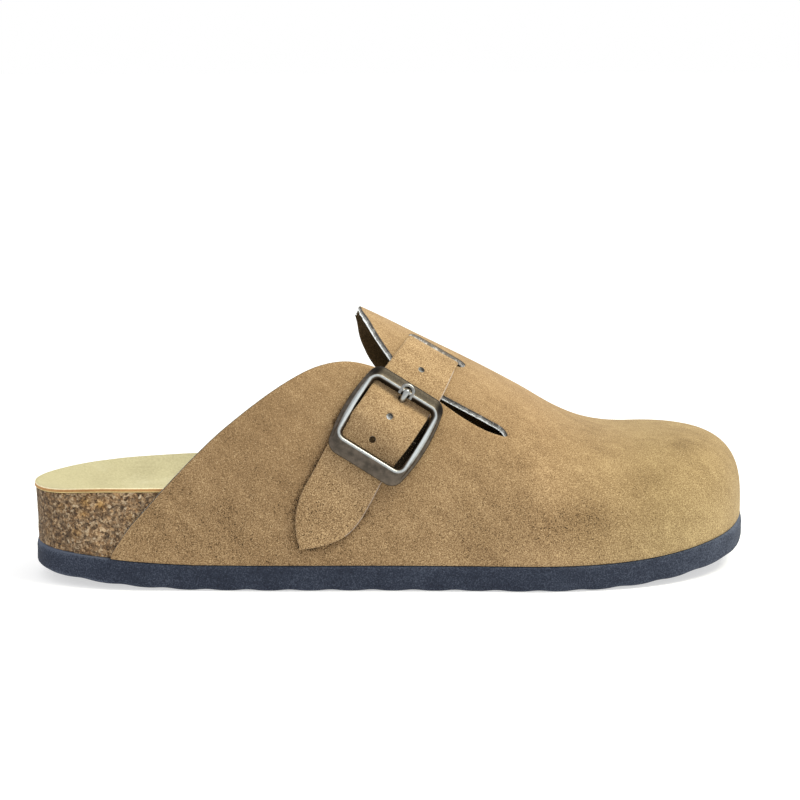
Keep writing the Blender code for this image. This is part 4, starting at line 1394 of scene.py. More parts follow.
def make_footbed(cork):
    """The cork footbed: its cupped top, its wall in rows, and a flat floor."""
    turns = bed_turns()
    grid = bed_grid(turns, 0.0)
    faces = grid_faces(len(turns), BED_COLUMNS)
    loops = [closed_loop(grid[:, 0], grid[:, -1])]
    for share in np.linspace(1, 0, CORK_ROWS)[1:]:
        loops.append(closed_loop(*bed_sides(turns, share)))
    count = len(loops[0])
    points = grid.reshape(-1, 3)
    start = len(points)
    faces += [tuple(start + v for v in reversed(face)) for face in loft_loops(len(loops), count)]
    floor = start + (len(loops) - 1) * count
    for i in range(count // 2):
        ends = (floor + i, floor + i + 1, floor + (count - i - 1) % count, floor + (count - i) % count)
        faces.append(tuple(dict.fromkeys(ends)))
    weld = welded(np.concatenate([points, *loops]), faces)
    points = weld.points
    faces = outward_faces(points, weld.faces)
    normals = face_normals(points, faces)
    relief = np.array([cork_relief(p) for p in points])
    shown = points[:, 0] < CORK_SHOWS_TO + PITS_PAST
    points = points + normals * np.where(shown, relief, 0.0)[:, None]
    amber = np.zeros(len(points))
    for spot in AMBER_SPOTS:
        away = ((points[:, 0] - spot.x) ** 2 + (points[:, 2] - spot.z) ** 2) / spot.reach ** 2
        amber = np.maximum(amber, spot.amount * np.exp(-away))
    return new_piece("cork_footbed", points, faces, [cork], tags={"amber": amber})


def cork_relief(point):
    """Small pits between the grains of the cork, in millimetres."""
    near = mathutils_noise.voronoi(Vector(tuple(point * PIT_SCALE)))[0]
    pit = min(max((near[1] - near[0]) / PIT_EDGE, 0.0), 1.0)
    broad = mathutils_noise.noise(Vector(tuple(point * SWELL_SCALE)))
    return -CORK_PIT * (1 - pit) ** 2 + CORK_SWELL * broad - CORK_SUNK


CREAM_FACE, ORANGE_FACE, YELLOW_FACE, LIP_FACE = range(4)
InsoleEdge = namedtuple("InsoleEdge", "out up look")
INSOLE_EDGE = [
    InsoleEdge(0.0, 0.0, YELLOW_FACE),
    InsoleEdge(0.38, 0.06, YELLOW_FACE),
    InsoleEdge(0.46, 0.26, ORANGE_FACE),
    InsoleEdge(0.36, 0.36, ORANGE_FACE),
    InsoleEdge(0.44, 0.7, ORANGE_FACE),
    InsoleEdge(0.42, 1.15, LIP_FACE),
    InsoleEdge(0.3, 1.4, LIP_FACE),
    InsoleEdge(0.0, INSOLE_THICK, CREAM_FACE),
]


def make_insole(looks):
    """The suede cover of the footbed, with its layers showing at the edge."""
    turns = bed_turns()
    low = bed_grid(turns, GAP)
    high = bed_grid(turns, GAP + INSOLE_THICK)
    size = low.shape[0] * low.shape[1]
    low_faces = [face[::-1] for face in grid_faces(len(turns), BED_COLUMNS)]
    high_faces = grid_faces(len(turns), BED_COLUMNS, size)
    loop = closed_loop(low[:, 0], low[:, -1])
    ahead = np.roll(loop, -1, 0) - np.roll(loop, 1, 0)
    out = unit_rows(np.stack([ahead[:, 1], -ahead[:, 0], np.zeros(len(loop))], -1))
    rings = []
    for step in INSOLE_EDGE:
        ring_points = loop + out * step.out
        ring_points[:, 2] += step.up
        rings.append(ring_points)
    count = len(loop)
    start = 2 * size
    edge_faces = [tuple(start + v for v in face) for face in loft_loops(len(rings), count)]
    points = np.concatenate([low.reshape(-1, 3), high.reshape(-1, 3), *rings])
    face_looks = [YELLOW_FACE] * len(low_faces) + [CREAM_FACE] * len(high_faces)
    for step in INSOLE_EDGE[:-1]:
        face_looks += [step.look] * count
    weld = welded(points, low_faces + high_faces + edge_faces)
    face_looks = [face_looks[row] for row in weld.kept]
    faces = outward_faces(weld.points, weld.faces)
    return new_piece("cream_insole", weld.points, faces, looks, face_looks)


# Upper


def upper_turns():
    """Stations of the upper, with one on every end of an edge."""
    marks = []
    for stretch in UPPER_STRETCHES:
        count = max(2, math.ceil((stretch.last - stretch.first) / stretch.step) + 1)
        marks += list(np.linspace(stretch.first, stretch.last, count)[:-1])
    marks.append(SPINE_END)
    fan = np.linspace(float(turn_of(SPINE_END)), math.pi, TOE_STEPS + 1)[1:]
    return np.concatenate([turn_of(marks), fan])


def upper_rows(turn, side):
    """The points of one station: the quarter's rows from the sole up, then the flap's rows to the ridge."""
    points, run = section(turn, side)
    x = -LENGTH / 2 * math.cos(turn)
    collar, flap = (COLLAR_MEDIAL, FLAP_MEDIAL) if side > 0 else (COLLAR_LATERAL, FLAP_LATERAL)
    end = collar[-1].x
    even = QUARTER_ROWS / (QUARTER_ROWS + FLAP_ROWS + SHUT_ROW) * run[-1]
    low = run_at_height(points, run, float(table(collar, "x", "height", x)))
    high = run_at_height(points, run, float(table(flap, "x", "height", x)))
    left = end - x
    if left < -SLIT_SLACK:
        shut, run_end = section(float(turn_of(end)), side)
        part = min(-left / (SPINE_END - end), 1.0)
        share_low = run_at_height(shut, run_end, collar[-1].height) / run_end[-1]
        share_high = run_at_height(shut, run_end, flap[-1].height) / run_end[-1]
        low = share_low * run[-1] * (1 - part) + even * part
        high = share_high * run[-1] * (1 - part) + (even + SHUT_STRIP * run[-1]) * part
    elif left < SLIT_ROUND:
        opened = math.sqrt(max(1 - (1 - max(left, 0.0) / SLIT_ROUND) ** 2, 0.0))
        middle = (low + high) / 2
        low = middle + (low - middle) * opened
        high = middle + (high - middle) * opened
    quarter = np.linspace(0, low, QUARTER_ROWS + 1)
    top = np.linspace(min(high, run[-1]), run[-1], FLAP_ROWS + 1)
    return pick(points, run, np.concatenate([quarter, top]))


def crease_depth(points):
    """Soft troughs and ridges where the suede has creased with use, in millimetres along the surface's
    normal.
    """
    height = np.zeros(len(points))
    for fold in FOLDS:
        first = np.array([fold.x1, fold.z1])
        way = np.array([fold.x2, fold.z2]) - first
        flat = points[:, [0, 2]] - first
        share = np.clip(flat @ way / (way @ way), 0, 1)
        away = np.linalg.norm(flat - share[:, None] * way, axis=1)
        fade = np.clip(np.minimum(share, 1 - share) / FOLD_FADE, 0, 1)
        fade = fade * fade * (3 - 2 * fade)
        one_side = points[:, 1] * fold.side > 0
        height += np.where(one_side, fold.height * np.exp(-(away / fold.width) ** 2) * fade, 0.0)
    return height


def tone_of(points):
    """Brushed patches of the nap: paler above zero, darker below."""
    tone = np.zeros(len(points))
    for patch in PATCHES:
        along = (points[:, 0] - patch.x) / patch.reach_x
        up = (points[:, 2] - patch.z) / patch.reach_z
        one_side = np.where(points[:, 1] * patch.side >= 0, 1.0, OTHER_SIDE)
        tone += patch.amount * one_side * np.exp(-(along ** 2 + up ** 2))
    return tone


def rim_of(points, depth):
    """How far a cut edge has come from its outer line to its fuzzy inner border.

    The collar's edge starts a little paler, and the quarter's stays duller.
    """
    collar = rising(points[:, 0], COLLAR_PALE_FROM, -COLLAR_PALE_RUN) * COLLAR_PALE
    quarter = rising(points[:, 0], QUARTER_EDGE_FROM, -QUARTER_EDGE_RUN)
    return (depth ** FUZZ_NARROW * (1 - collar) + collar) * (1 - QUARTER_EDGE_DULL * quarter)


def under_buckle(points):
    """The deep shade under the buckle's side bars, beside the strap."""
    spot = BUCKLE_SPOT
    away = points - spot.place
    over = np.abs(away @ spot.sideways)
    up = -(away @ spot.down)
    inside = rising(over, SHADE_INNER, SHADE_INNER_RUN) * rising(over, SHADE_OUTER, -SHADE_OUTER_RUN)
    inside = inside * rising(up, SHADE_LOW, SHADE_END_RUN) * rising(up, SHADE_HIGH, -SHADE_END_RUN)
    near = np.abs(away @ spot.normal) < SHADE_REACH
    return np.where(near, BUCKLE_SHADE * inside, 0.0)


def beside_strap(points):
    """The shade that the strap's back edge and tip throw on the quarter."""
    tone = np.zeros(len(points))
    near = np.flatnonzero((points[:, 1] < 0) & (np.abs(points[:, 0] - STRAP_NEAR_X) < STRAP_NEAR))
    total = STRAP.run[-1]
    line = []
    for at in np.linspace(STRAP.buckle + STRAP_SHADE_FROM, total, STRAP_SHADE_SPOTS):
        spot = strap_spot(at)
        sides = (1, -1) if at > total - TIP_LENGTH else (1,)
        line += [beside(spot, side * half_width(at))[0] for side in sides]
    line = np.array(line)
    for v in near:
        away = np.linalg.norm(line - points[v], axis=1).min()
        tone[v] = -STRAP_SHADE * math.exp(-(away / STRAP_SHADE_REACH) ** 2)
    return tone


def upper_surface():
    """The outer surface of the upper: its points and faces, with the slit and the open back left out."""
    turns = upper_turns()
    columns = QUARTER_ROWS + FLAP_ROWS + 2
    whole = 2 * columns - 1
    grid = np.empty((len(turns), whole, 3))
    for i, turn in enumerate(turns):
        lateral = upper_rows(float(turn), -1)
        medial = upper_rows(float(turn), 1)
        grid[i, :columns] = lateral
        grid[i, columns:] = medial[-2::-1]
        grid[i, columns - 1] = (lateral[-1] + medial[-1]) / 2
    grid[-1] = (grid[-1] + grid[-1][::-1]) / 2
    faces = []
    for i in range(len(turns) - 1):
        x = -LENGTH / 2 * math.cos(turns[i])
        for j in range(whole - 1):
            lateral = j < columns - 1
            row = j if lateral else whole - 2 - j
            back = LATERAL_BACK if lateral else MEDIAL_BACK
            slit_end = SLIT_END_LATERAL if lateral else SLIT_END_MEDIAL
            if row < QUARTER_ROWS:
                kept = x > back - EDGE_SLACK
            elif row == QUARTER_ROWS:
                kept = x > slit_end - EDGE_SLACK
            else:
                kept = x > FLAP_BACK - EDGE_SLACK
            if kept:
                a = i * whole + j
                faces.append((a, a + 1, a + whole + 1, a + whole))
    points = grid.reshape(-1, 3)
    used = sorted({v for face in faces for v in face})
    place = {v: k for k, v in enumerate(used)}
    faces = [tuple(place[v] for v in face) for face in faces]
    weld = welded(points[used], faces)
    points = weld.points
    faces = weld.faces
    normals = face_normals(points, faces)
    if ((points - points.mean(0)) * normals).sum() < 0:
        faces = [face[::-1] for face in faces]
        normals = -normals
    points = points + normals * crease_depth(points)[:, None]
    return points, faces


def make_upper(looks):
    """The suede upper with the strap's slot cut in it, and its cut edges for the fibres."""
    points, faces = upper_surface()
    made = shell(points, faces, SUEDE, CUT_EDGE_BULGE, CUT_EDGE_BEVEL)
    tone = tone_of(made.points) + under_buckle(made.points) + beside_strap(made.points)
    tags = {"tone": tone, "rim": rim_of(made.points, made.depth)}
    tags["olive"] = rising(made.points[:, 0], OLIVE_FROM, OLIVE_FULL - OLIVE_FROM)
    item = new_piece("suede_upper", made.points, made.faces, looks, made.looks, tags)
    cut_out(item, slot_cutter(looks))
    tag_cut(item, CUT_FACE, slot_rim)
    return item, made.rims


# Strap


Line = namedtuple("Line", "run x around slot buckle")
Spot = namedtuple("Spot", "place normal down sideways step x around rise")


def strap_line():
    """The strap's middle line: length run, place on the last, and where the slot and the buckle come."""
    mark = np.linspace(0, 1, len(STRAP_PATH))
    fine = np.linspace(0, 1, STRAP_LINE_STEPS)
    line_x = smooth(mark, [row.x for row in STRAP_PATH], fine)
    line_round = smooth(mark, [row.around for row in STRAP_PATH], fine)
    spots = np.array([last_at(x, r) for x, r in zip(line_x, line_round)])
    run = run_along(spots)
    slot = float(np.interp(mark[SLOT_ROW], fine, run))
    buckle = float(np.interp(mark[BUCKLE_ROW], fine, run))
    return Line(run, line_x, line_round, slot, buckle)


STRAP = strap_line()


def strap_spot(goal):
    """The strap's own axes at a length run down its middle line."""
    reads = [goal, goal + STRAP_AHEAD, goal - STRAP_AHEAD]
    x, ahead_x, back_x = np.interp(reads, STRAP.run, STRAP.x)
    around, ahead_round, back_round = np.interp(reads, STRAP.run, STRAP.around)
    place, normal, along, across = last_frame(x, around)
    down = unit(along * (ahead_x - back_x) + across * (ahead_round - back_round))
    sideways = np.cross(down, normal)
    step = np.linalg.lstsq(np.stack([along, across], -1), sideways, rcond=None)[0]
    near = goal - STRAP.buckle + np.linspace(-RISE_EASE, RISE_EASE, RISE_READS)
    rise = np.interp(near, [row.down for row in STRAP_RISE], [row.lift for row in STRAP_RISE]).mean()
    return Spot(place, normal, down, sideways, step, x, around, float(rise))


def beside(spot, reach):
    """The point of the last beside a spot of the strap, and the normal there."""
    here, normal, _, _ = last_frame(spot.x + spot.step[0] * reach, spot.around + spot.step[1] * reach)
    return here, normal


SlotStep = namedtuple("SlotStep", "deep rim")
# Rim tags down the slot's wall, high enough that its grey fuzz also glows with painted light
SLOT_WALL = [
    SlotStep(-SLOT_DEEP, 0.52),
    SlotStep(-SUEDE, 0.56),
    SlotStep(-1.0, 0.62),
    SlotStep(-0.45, 0.5),
    SlotStep(-0.2, 0.32),
    SlotStep(0.0, 0.0),
    SlotStep(4.0, 0.0),
]


def corner_arc(x, y, radius, first, count):
    """A quarter turn round a point, from a first angle in degrees."""
    angles = [math.radians(first + 90 * k / (count - 1)) for k in range(count)]
    return [(x + radius * math.cos(angle), y + radius * math.sin(angle)) for angle in angles]


def slot_cutter(looks):
    """The shape that cuts the strap's slot in the flap, round at its ends."""
    corner = SLOT_CORNER
    corners = [
        (SLOT_WIDTH - corner, SLOT_BACK - corner, 0),
        (corner, SLOT_BACK - corner, 90),
        (corner, SLOT_FRONT + corner, 180),
        (SLOT_WIDTH - corner, SLOT_FRONT + corner, 270),
    ]
    flat = []
    for along, reach, first in corners:
        flat += corner_arc(along, reach, corner, first, SLOT_CORNER_STEPS)
    full = []
    for k in range(len(flat)):
        a = np.array(flat[k])
        b = np.array(flat[(k + 1) % len(flat)])
        pieces = max(1, int(np.linalg.norm(b - a) / SLOT_STEP))
        full += [a + (b - a) * s / pieces for s in range(pieces)]
    loops = []
    for step in SLOT_WALL:
        for along, reach in full:
            here, upward = beside(strap_spot(STRAP.slot + along), reach)
            loops.append(here + upward * step.deep)
    return cutter_piece("slot_cutter", loops, len(SLOT_WALL), looks)


def cutter_piece(name, points, loops, looks):
    """A closed rod of loops, to be cut out of a piece of suede."""
    faces = outward_faces(np.array(points), rod_faces(loops, len(points) // loops))
    return new_piece(name, points, faces, looks, [CUT_FACE] * len(faces), {"rim": np.zeros(len(points))})


def slot_rim(point):
    """The rim tag on the slot's wall by its depth, or None away from the slot."""
    spot = strap_spot(STRAP.slot)
    along = (point - spot.place) @ spot.down
    reach = (point - spot.place) @ spot.sideways
    if abs((point - spot.place) @ spot.normal) > SLOT_DEEP:
        return None
    if not -SLOT_NEAR < along < SLOT_WIDTH + SLOT_NEAR:
        return None
    if not SLOT_FRONT - SLOT_NEAR < reach < SLOT_BACK + SLOT_NEAR:
        return None
    here, upward = beside(strap_spot(STRAP.slot + along), reach)
    depth = (point - here) @ upward
    return float(np.interp(depth, [wall.deep for wall in SLOT_WALL], [wall.rim for wall in SLOT_WALL]))


def half_width(at):
    """Half width of the strap at a length down it: narrower at the slot, a pointed arch at the tip."""
    left = STRAP.run[-1] - at
    if left < TIP_LENGTH:
        return STRAP_WIDTH / 2 * max(1 - (1 - left / TIP_LENGTH) ** TIP_POINT, TIP_LEAST)
    share = min(max((STRAP.buckle - SLOT_TAPER_TO - at) / SLOT_TAPER_RUN, 0.0), 1.0)
    return STRAP_WIDTH / 2 - SLOT_TAPER * share * share * (3 - 2 * share)


def strap_marks():
    """Lengths down the strap, closer together towards the tip."""
    total = STRAP.run[-1]
    even = np.linspace(0.0, total - TIP_LENGTH, int((total - TIP_LENGTH) / STRAP_STEP))
    ease = np.linspace(0, 1, TIP_ROWS + 1)[1:]
    return np.concatenate([even, total - TIP_LENGTH * (1 - ease) ** TIP_CLOSER])


def strap_ridge(up, across):
    """The soft ridge that the prong raises in the strap under the buckle's window."""
    along = rising(up, PRONG_RIDGE_FROM, PRONG_RIDGE_RISE) * rising(up, PRONG_RIDGE_TO, -PRONG_RIDGE_FALL)
    return PRONG_RIDGE * along * np.exp(-(across / PRONG_RIDGE_WIDTH) ** 2)


def pale_edge(at):
    """Where the strap's toe-side edge shows pale: above the buckle and just below it."""
    on_strap = STRAP.slot + PALE_EDGE_FROM < at < STRAP.run[-1] - PALE_EDGE_TO
    return on_strap and abs(at - STRAP.buckle) > BUCKLE_LENGTH / 2 - BOTTOM_BAR


def strap_side(near, far, way):
    """The rounded side of the strap between its two faces."""
    return [near * (1 - t) + far * t + way * math.sqrt(4 * t * (1 - t)) for t in STRAP_EDGE_STEPS]


def make_strap(looks):
    """The strap with its punched holes, and its side edges for the fibres."""
    marks = strap_marks()
    total = STRAP.run[-1]
    columns = STRAP_COLUMNS
    side_rows = len(STRAP_EDGE_STEPS)
    ridge = side_rows // 2
    across = np.sin(np.linspace(-math.pi / 2, math.pi / 2, columns))
    loops = []
    rims = []
    for at in marks:
        spot = strap_spot(at)
        half = half_width(at)
        curl = TIP_CURL * max(0.0, 1 - (total - at) / TIP_LENGTH) ** 2
        low = []
        high = []
        for c in across:
            here, upward = beside(spot, c * half)
            rise = spot.rise + curl + EDGE_CURL * abs(c) ** EDGE_CURL_POWER
            swell = strap_ridge(STRAP.buckle - at, c * half)
            drop = EDGE_DROP * abs(c) ** EDGE_DROP_POWER
            low.append(here + upward * (rise + STRAP_THICK * drop))
            high.append(here + upward * (rise + swell + STRAP_THICK * (1 - drop)))
        left = -spot.sideways * STRAP_EDGE_ROUND * min(half / 2, 1)
        right_side = strap_side(low[-1], high[-1], -left)
        left_side = strap_side(high[0], low[0], left)
        loops += low + right_side + high[::-1] + left_side
        rims.append((low[0], left_side[ridge], high[0], low[-1], right_side[ridge], high[-1]))
    sides = 2 * (columns + side_rows)
    points = np.array(loops)
    face_looks = []
    for k in range(len(marks) - 1):
        toe_side = PALE_FACE if pale_edge(marks[k]) else SUEDE_FACE
        face_looks += [FLESH_FACE] * (columns - 1)
        face_looks += [SUEDE_FACE] * (columns + side_rows)
        face_looks += [toe_side] * (side_rows + 1)
    face_looks += [FLESH_FACE, CUT_FACE]
    faces = outward_faces(points, rod_faces(len(marks), sides))
    tags = {"tone": tone_of(points) * STRAP_PATCHES + STRAP_TONE}
    tags["rim"] = np.full(len(points), STRAP_RIM)
    tags["rough"] = np.ones(len(points))
    item = new_piece("suede_strap", points, faces, looks, face_looks, tags)
    for up in HOLES_UP + (HOLE_IN_USE_UP,):
        spot = strap_spot(STRAP.buckle - up)
        radius = HOLE_IN_USE / 2 if up == HOLE_IN_USE_UP else HOLE_SIZE / 2
        middle = spot.place + spot.normal * (spot.rise + STRAP_THICK / 2)
        deep = HOLE_FLOOR if up in HOLES_PALE else HOLE_REACH
        cut_out(item, hole_cutter(middle, spot.normal, radius, deep, looks))
    tag_cut(item, CUT_FACE, hole_rim)
    return item, rims


def hole_cutter(middle, axis, radius, deep, looks):
    """The round punch for one of the strap's holes."""
    side = unit(np.cross(axis, HOLE_ASIDE))
    other = np.cross(axis, side)
    points = []
    for end in (-deep, HOLE_REACH):
        for k in range(HOLE_SIDES):
            angle = 2 * math.pi * k / HOLE_SIDES
            points.append(middle + axis * end + radius * (math.cos(angle) * side + math.sin(angle) * other))
    return cutter_piece("hole_cutter", points, 2, looks)


def hole_rim(point):
    """The rim tag in the strap's holes: pale fuzz with painted light at the lower back, and painted shade at
    the upper front.
    """
    for up in HOLES_UP:
        spot = strap_spot(STRAP.buckle - up)
        away = point - spot.place - spot.normal * (spot.rise + STRAP_THICK / 2)
        if np.linalg.norm(away) < HOLE_SIZE:
            lit = away @ np.array(HOLE_LIT) / HOLE_SIZE * 2
            share = HOLE_PAINTED_LIGHT_PALE if up in HOLES_PALE else HOLE_PAINTED_LIGHT_PLAIN
            return float(np.clip(HOLE_RIM + share * lit, 0.0, 1.0))
    return None


# Buckle


def rounded_loop(half_w, low_y, high_y, corner, bow, per_corner=12, per_side=14):
    """A rounded rectangle with bowed sides, from the lower right corner round."""
    middles = [
        (half_w - corner, low_y + corner, -90),
        (half_w - corner, high_y - corner, 0),
        (corner - half_w, high_y - corner, 90),
        (corner - half_w, low_y + corner, 180),
    ]
    corners = []
    for x, y, first in middles:
        corners += corner_arc(x, y, corner, first, per_corner)
    points = []
    for i in range(len(corners)):
        here = np.array(corners[i])
        points.append(here)
        if i % per_corner == per_corner - 1:
            after = np.array(corners[(i + 1) % len(corners)])
            points += [here + (after - here) * k / per_side for k in range(1, per_side)]
    points = np.array(points)
    middle = (low_y + high_y) / 2
    swell = bow * np.clip(1 - ((points[:, 1] - middle) / (high_y - middle)) ** 2, 0, 1)
    points[:, 0] += np.sign(points[:, 0]) * swell * np.minimum(np.abs(points[:, 0]) / (half_w - corner), 1)
    return points


BUCKLE_SPOT = strap_spot(STRAP.buckle)


def to_world(local):
    """From the buckle's own axes: across, up the strap, and out from the shoe."""
    spot = BUCKLE_SPOT
    local = np.asarray(local, float)
    turn = math.radians(BUCKLE_TURN)
    across = local[:, :1] * math.cos(turn) + local[:, 1:2] * math.sin(turn) + BUCKLE_SHIFT[0]
    up = local[:, 1:2] * math.cos(turn) - local[:, :1] * math.sin(turn) + BUCKLE_SHIFT[1]
    return spot.place + across * spot.sideways - up * spot.down + local[:, 2:] * spot.normal


def outer_loop(inset):
    """The frame's outer line, moved in by an inset."""
    half_w = BUCKLE_WIDTH / 2
    half_l = BUCKLE_LENGTH / 2
    return rounded_loop(half_w - inset, inset - half_l, half_l - inset, OUTER_CORNER - inset, OUTER_BOW)


def inner_loop(grow):
    """The window's line, moved out into the frame by a growth."""
    half_l = BUCKLE_LENGTH / 2
    low = BOTTOM_BAR - half_l - grow
    high = half_l - TOP_BAR + grow
    return rounded_loop(WINDOW_WIDTH / 2 + grow, low, high, INNER_CORNER + grow, INNER_BOW)


FrameStep = namedtuple("FrameStep", "outer inner height worn")
# The last column tags the frame: a bright crest, partly rubbed bronze and partly painted highlight, and
# painted shade down the window's inner wall
FRAME_SECTION = [
    FrameStep(0.55, None, FRAME_LOW, 0.0),
    FrameStep(0.15, None, 2.72, 0.0),
    FrameStep(0.0, None, 3.0, 0.0),
    FrameStep(0.0, None, 3.3, 0.0),
    FrameStep(0.12, None, 3.6, 0.0),
    FrameStep(0.4, None, 3.86, 0.12),
    FrameStep(0.85, None, 4.1, 0.0),
    FrameStep(0.85, 2.6, 4.62, -0.05),
    FrameStep(None, 2.5, 5.02, 0.21),
    FrameStep(None, 2.1, 5.24, 0.35),
    FrameStep(None, 1.75, 5.36, 0.85),
    FrameStep(None, 1.4, FRAME_HIGH, 0.95),
    FrameStep(None, 1.08, 5.27, 0.55),
    FrameStep(None, 0.75, 4.98, -0.15),
    FrameStep(None, 0.4, 4.56, -0.35),
    FrameStep(None, 0.1, 4.0, -0.6),
    FrameStep(None, 0.0, 3.4, -0.9),
    FrameStep(None, 0.0, 2.9, -1.0),
    FrameStep(None, 0.15, 2.7, -1.0),
    FrameStep(None, 0.5, FRAME_LOW, -0.5),
]
TOP_BAR_SHADE = 0.93
TOP_BAR_FROM = 12.0
TOP_BAR_RUN = 2.0
SIDE_SHINE = 0.5
SIDE_FROM = 10.5
SIDE_RUN = 2.0
SIDE_LESS = 0.4
SHINE_MOST = 1.4
SHINE_LENGTH = 9.0
CREST_ABOVE = 0.2
FACE_ABOVE = -0.4
FACE_BELOW = 0.5
# Painted shade on the hidden centre bar and the prong's hidden part, and in the notch
HIDDEN = -1.0
NOTCH_SHADE = -0.6
NOTCH_SPARE = 0.35
NOTCH_BELOW = 3.0
NOTCH_TOP = 7.0
NOTCH_STEPS = 16
LIP_SIDES = 12
BAR_SIDES = 20
BAR_PAST = 0.6
BAR_STEPS = 5
BUCKLE_CREASE = 60


def tube(path, radius, sides):
    """A round rod along a path in the buckle's axes, as points and faces."""
    path = np.asarray(path, float)
    points = []
    for i in range(len(path)):
        ahead = unit(path[min(i + 1, len(path) - 1)] - path[max(i - 1, 0)])
        upward = np.array([0.0, 0.0, 1.0])
        upward = unit(upward - ahead * (upward @ ahead))
        over = np.cross(ahead, upward)
        for k in range(sides):
            angle = 2 * math.pi * k / sides
            points.append(path[i] + radius[i] * (math.cos(angle) * over + math.sin(angle) * upward))
    points = np.array(points)
    return points, outward_faces(points, rod_faces(len(path), sides))


def crest_painted_reflection(flat):
    """The side bars' crest carries a painted reflection, brighter and wider than on the end bars, most at
    its middle.
    """
    middle = (BOTTOM_BAR - TOP_BAR) / 2
    on_side = rising(np.abs(flat[:, 0]), SIDE_FROM, SIDE_RUN)
    along = np.clip(SHINE_MOST - np.abs(flat[:, 1] - middle) / SHINE_LENGTH, 0, 1)
    return SIDE_SHINE * (on_side * along - SIDE_LESS)


def shaded_top(flat):
    """The top bar's face is darker than the others: a painted dark reflection."""
    return TOP_BAR_SHADE * rising(flat[:, 1], TOP_BAR_FROM, TOP_BAR_RUN)


def at_height(flat, height):
    return np.column_stack([flat, np.full(len(flat), height)])


def make_buckle(metal):
    """The buckle's frame with its notch and the notch's lip, and the centre bar."""
    loops = []
    worn = []
    for step in FRAME_SECTION:
        if step.inner is None:
            flat = outer_loop(step.outer)
        elif step.outer is None:
            flat = inner_loop(step.inner)
        else:
            flat = (outer_loop(step.outer) + inner_loop(step.inner)) / 2
        loops.append(at_height(flat, step.height))
        crest = crest_painted_reflection(flat) * (step.worn > CREST_ABOVE)
        face = shaded_top(flat) * (FACE_ABOVE < step.worn < FACE_BELOW)
        worn.append(step.worn + crest - face)
    loops.append(loops[0])
    worn.append(worn[0])
    weld = welded(np.concatenate(loops), loft_loops(len(loops), len(loops[0])))
    faces = outward_faces(weld.points, weld.faces)
    tags = {"worn": np.concatenate(worn)[weld.first]}
    item = new_piece("bronze_buckle", to_world(weld.points), faces, [metal], tags=tags)
    notch = notch_path(NOTCH_HALF - NOTCH_SPARE, NOTCH_BELOW)
    block = np.concatenate([at_height(notch, NOTCH_FLOOR), at_height(notch, NOTCH_TOP)])
    cutter_faces = outward_faces(block, rod_faces(2, len(notch)))
    notch_painted_shade = {"worn": np.full(len(block), NOTCH_SHADE)}
    cut_out(item, new_piece("notch_cutter", to_world(block), cutter_faces, [metal], tags=notch_painted_shade))
    lip = at_height(notch_path(NOTCH_HALF, NOTCH_SPARE), NOTCH_LIP_HEIGHT)
    add_to(item, *tube(lip, np.full(len(lip), NOTCH_LIP), LIP_SIDES), NOTCH_LIP_WEAR_AND_HIGHLIGHT)
    half_w = BUCKLE_WIDTH / 2 + BAR_PAST
    bar = [(x, 0.0, BAR_HEIGHT) for x in np.linspace(-half_w, half_w, BAR_STEPS)]
    # The centre bar is dark with painted shade, hidden under the strap
    add_to(item, *tube(bar, np.full(BAR_STEPS, CENTRE_BAR / 2), BAR_SIDES), HIDDEN)
    item.data.set_sharp_from_angle(angle=math.radians(BUCKLE_CREASE))
    return item


def notch_path(half, below):
    """The bay in the top bar that holds the prong's end: up one side, round, and down the other."""
    edge = BUCKLE_LENGTH / 2 - TOP_BAR
    round_middle = edge + NOTCH_DEEP - NOTCH_HALF
    path = [(half, edge - below)]
    for k in range(NOTCH_STEPS + 1):
        angle = math.pi * k / NOTCH_STEPS
        path.append((half * math.cos(angle), round_middle + half * math.sin(angle)))
    path.append((-half, edge - below))
    return np.array(path)


def add_to(item, points, faces, worn):
    """Adds more of the same metal to the buckle, given in its own axes."""
    mesh = item.data
    count = len(mesh.vertices)
    old = np.empty(count * 3, np.float32)
    mesh.vertices.foreach_get("co", old)
    old_wear_and_painted_light = np.empty(count, np.float32)
    mesh.attributes["worn"].data.foreach_get("value", old_wear_and_painted_light)
    every = np.concatenate([old.reshape(-1, 3) / MM, to_world(points)])
    every_face = [tuple(p.vertices) for p in mesh.polygons]
    every_face += [tuple(count + v for v in face) for face in faces]
    tags = {"worn": np.concatenate([old_wear_and_painted_light, np.full(len(points), worn)])}
    made = new_piece(item.name + "_more", every, every_face, list(mesh.materials), tags=tags)
    item.data = made.data
    bpy.data.objects.remove(made, do_unlink=True)


PRONG_LOOP_WIDE = 2.4
PRONG_LOOP_TURNS = range(-225, 16, 15)
PRONG_STEPS = 60
PRONG_END = 1.1
PRONG_LEAST = 0.0004
PRONG_SHADE_TO_LIGHT_FROM = 10.0
PRONG_SHADE_TO_LIGHT_RUN = 2.0


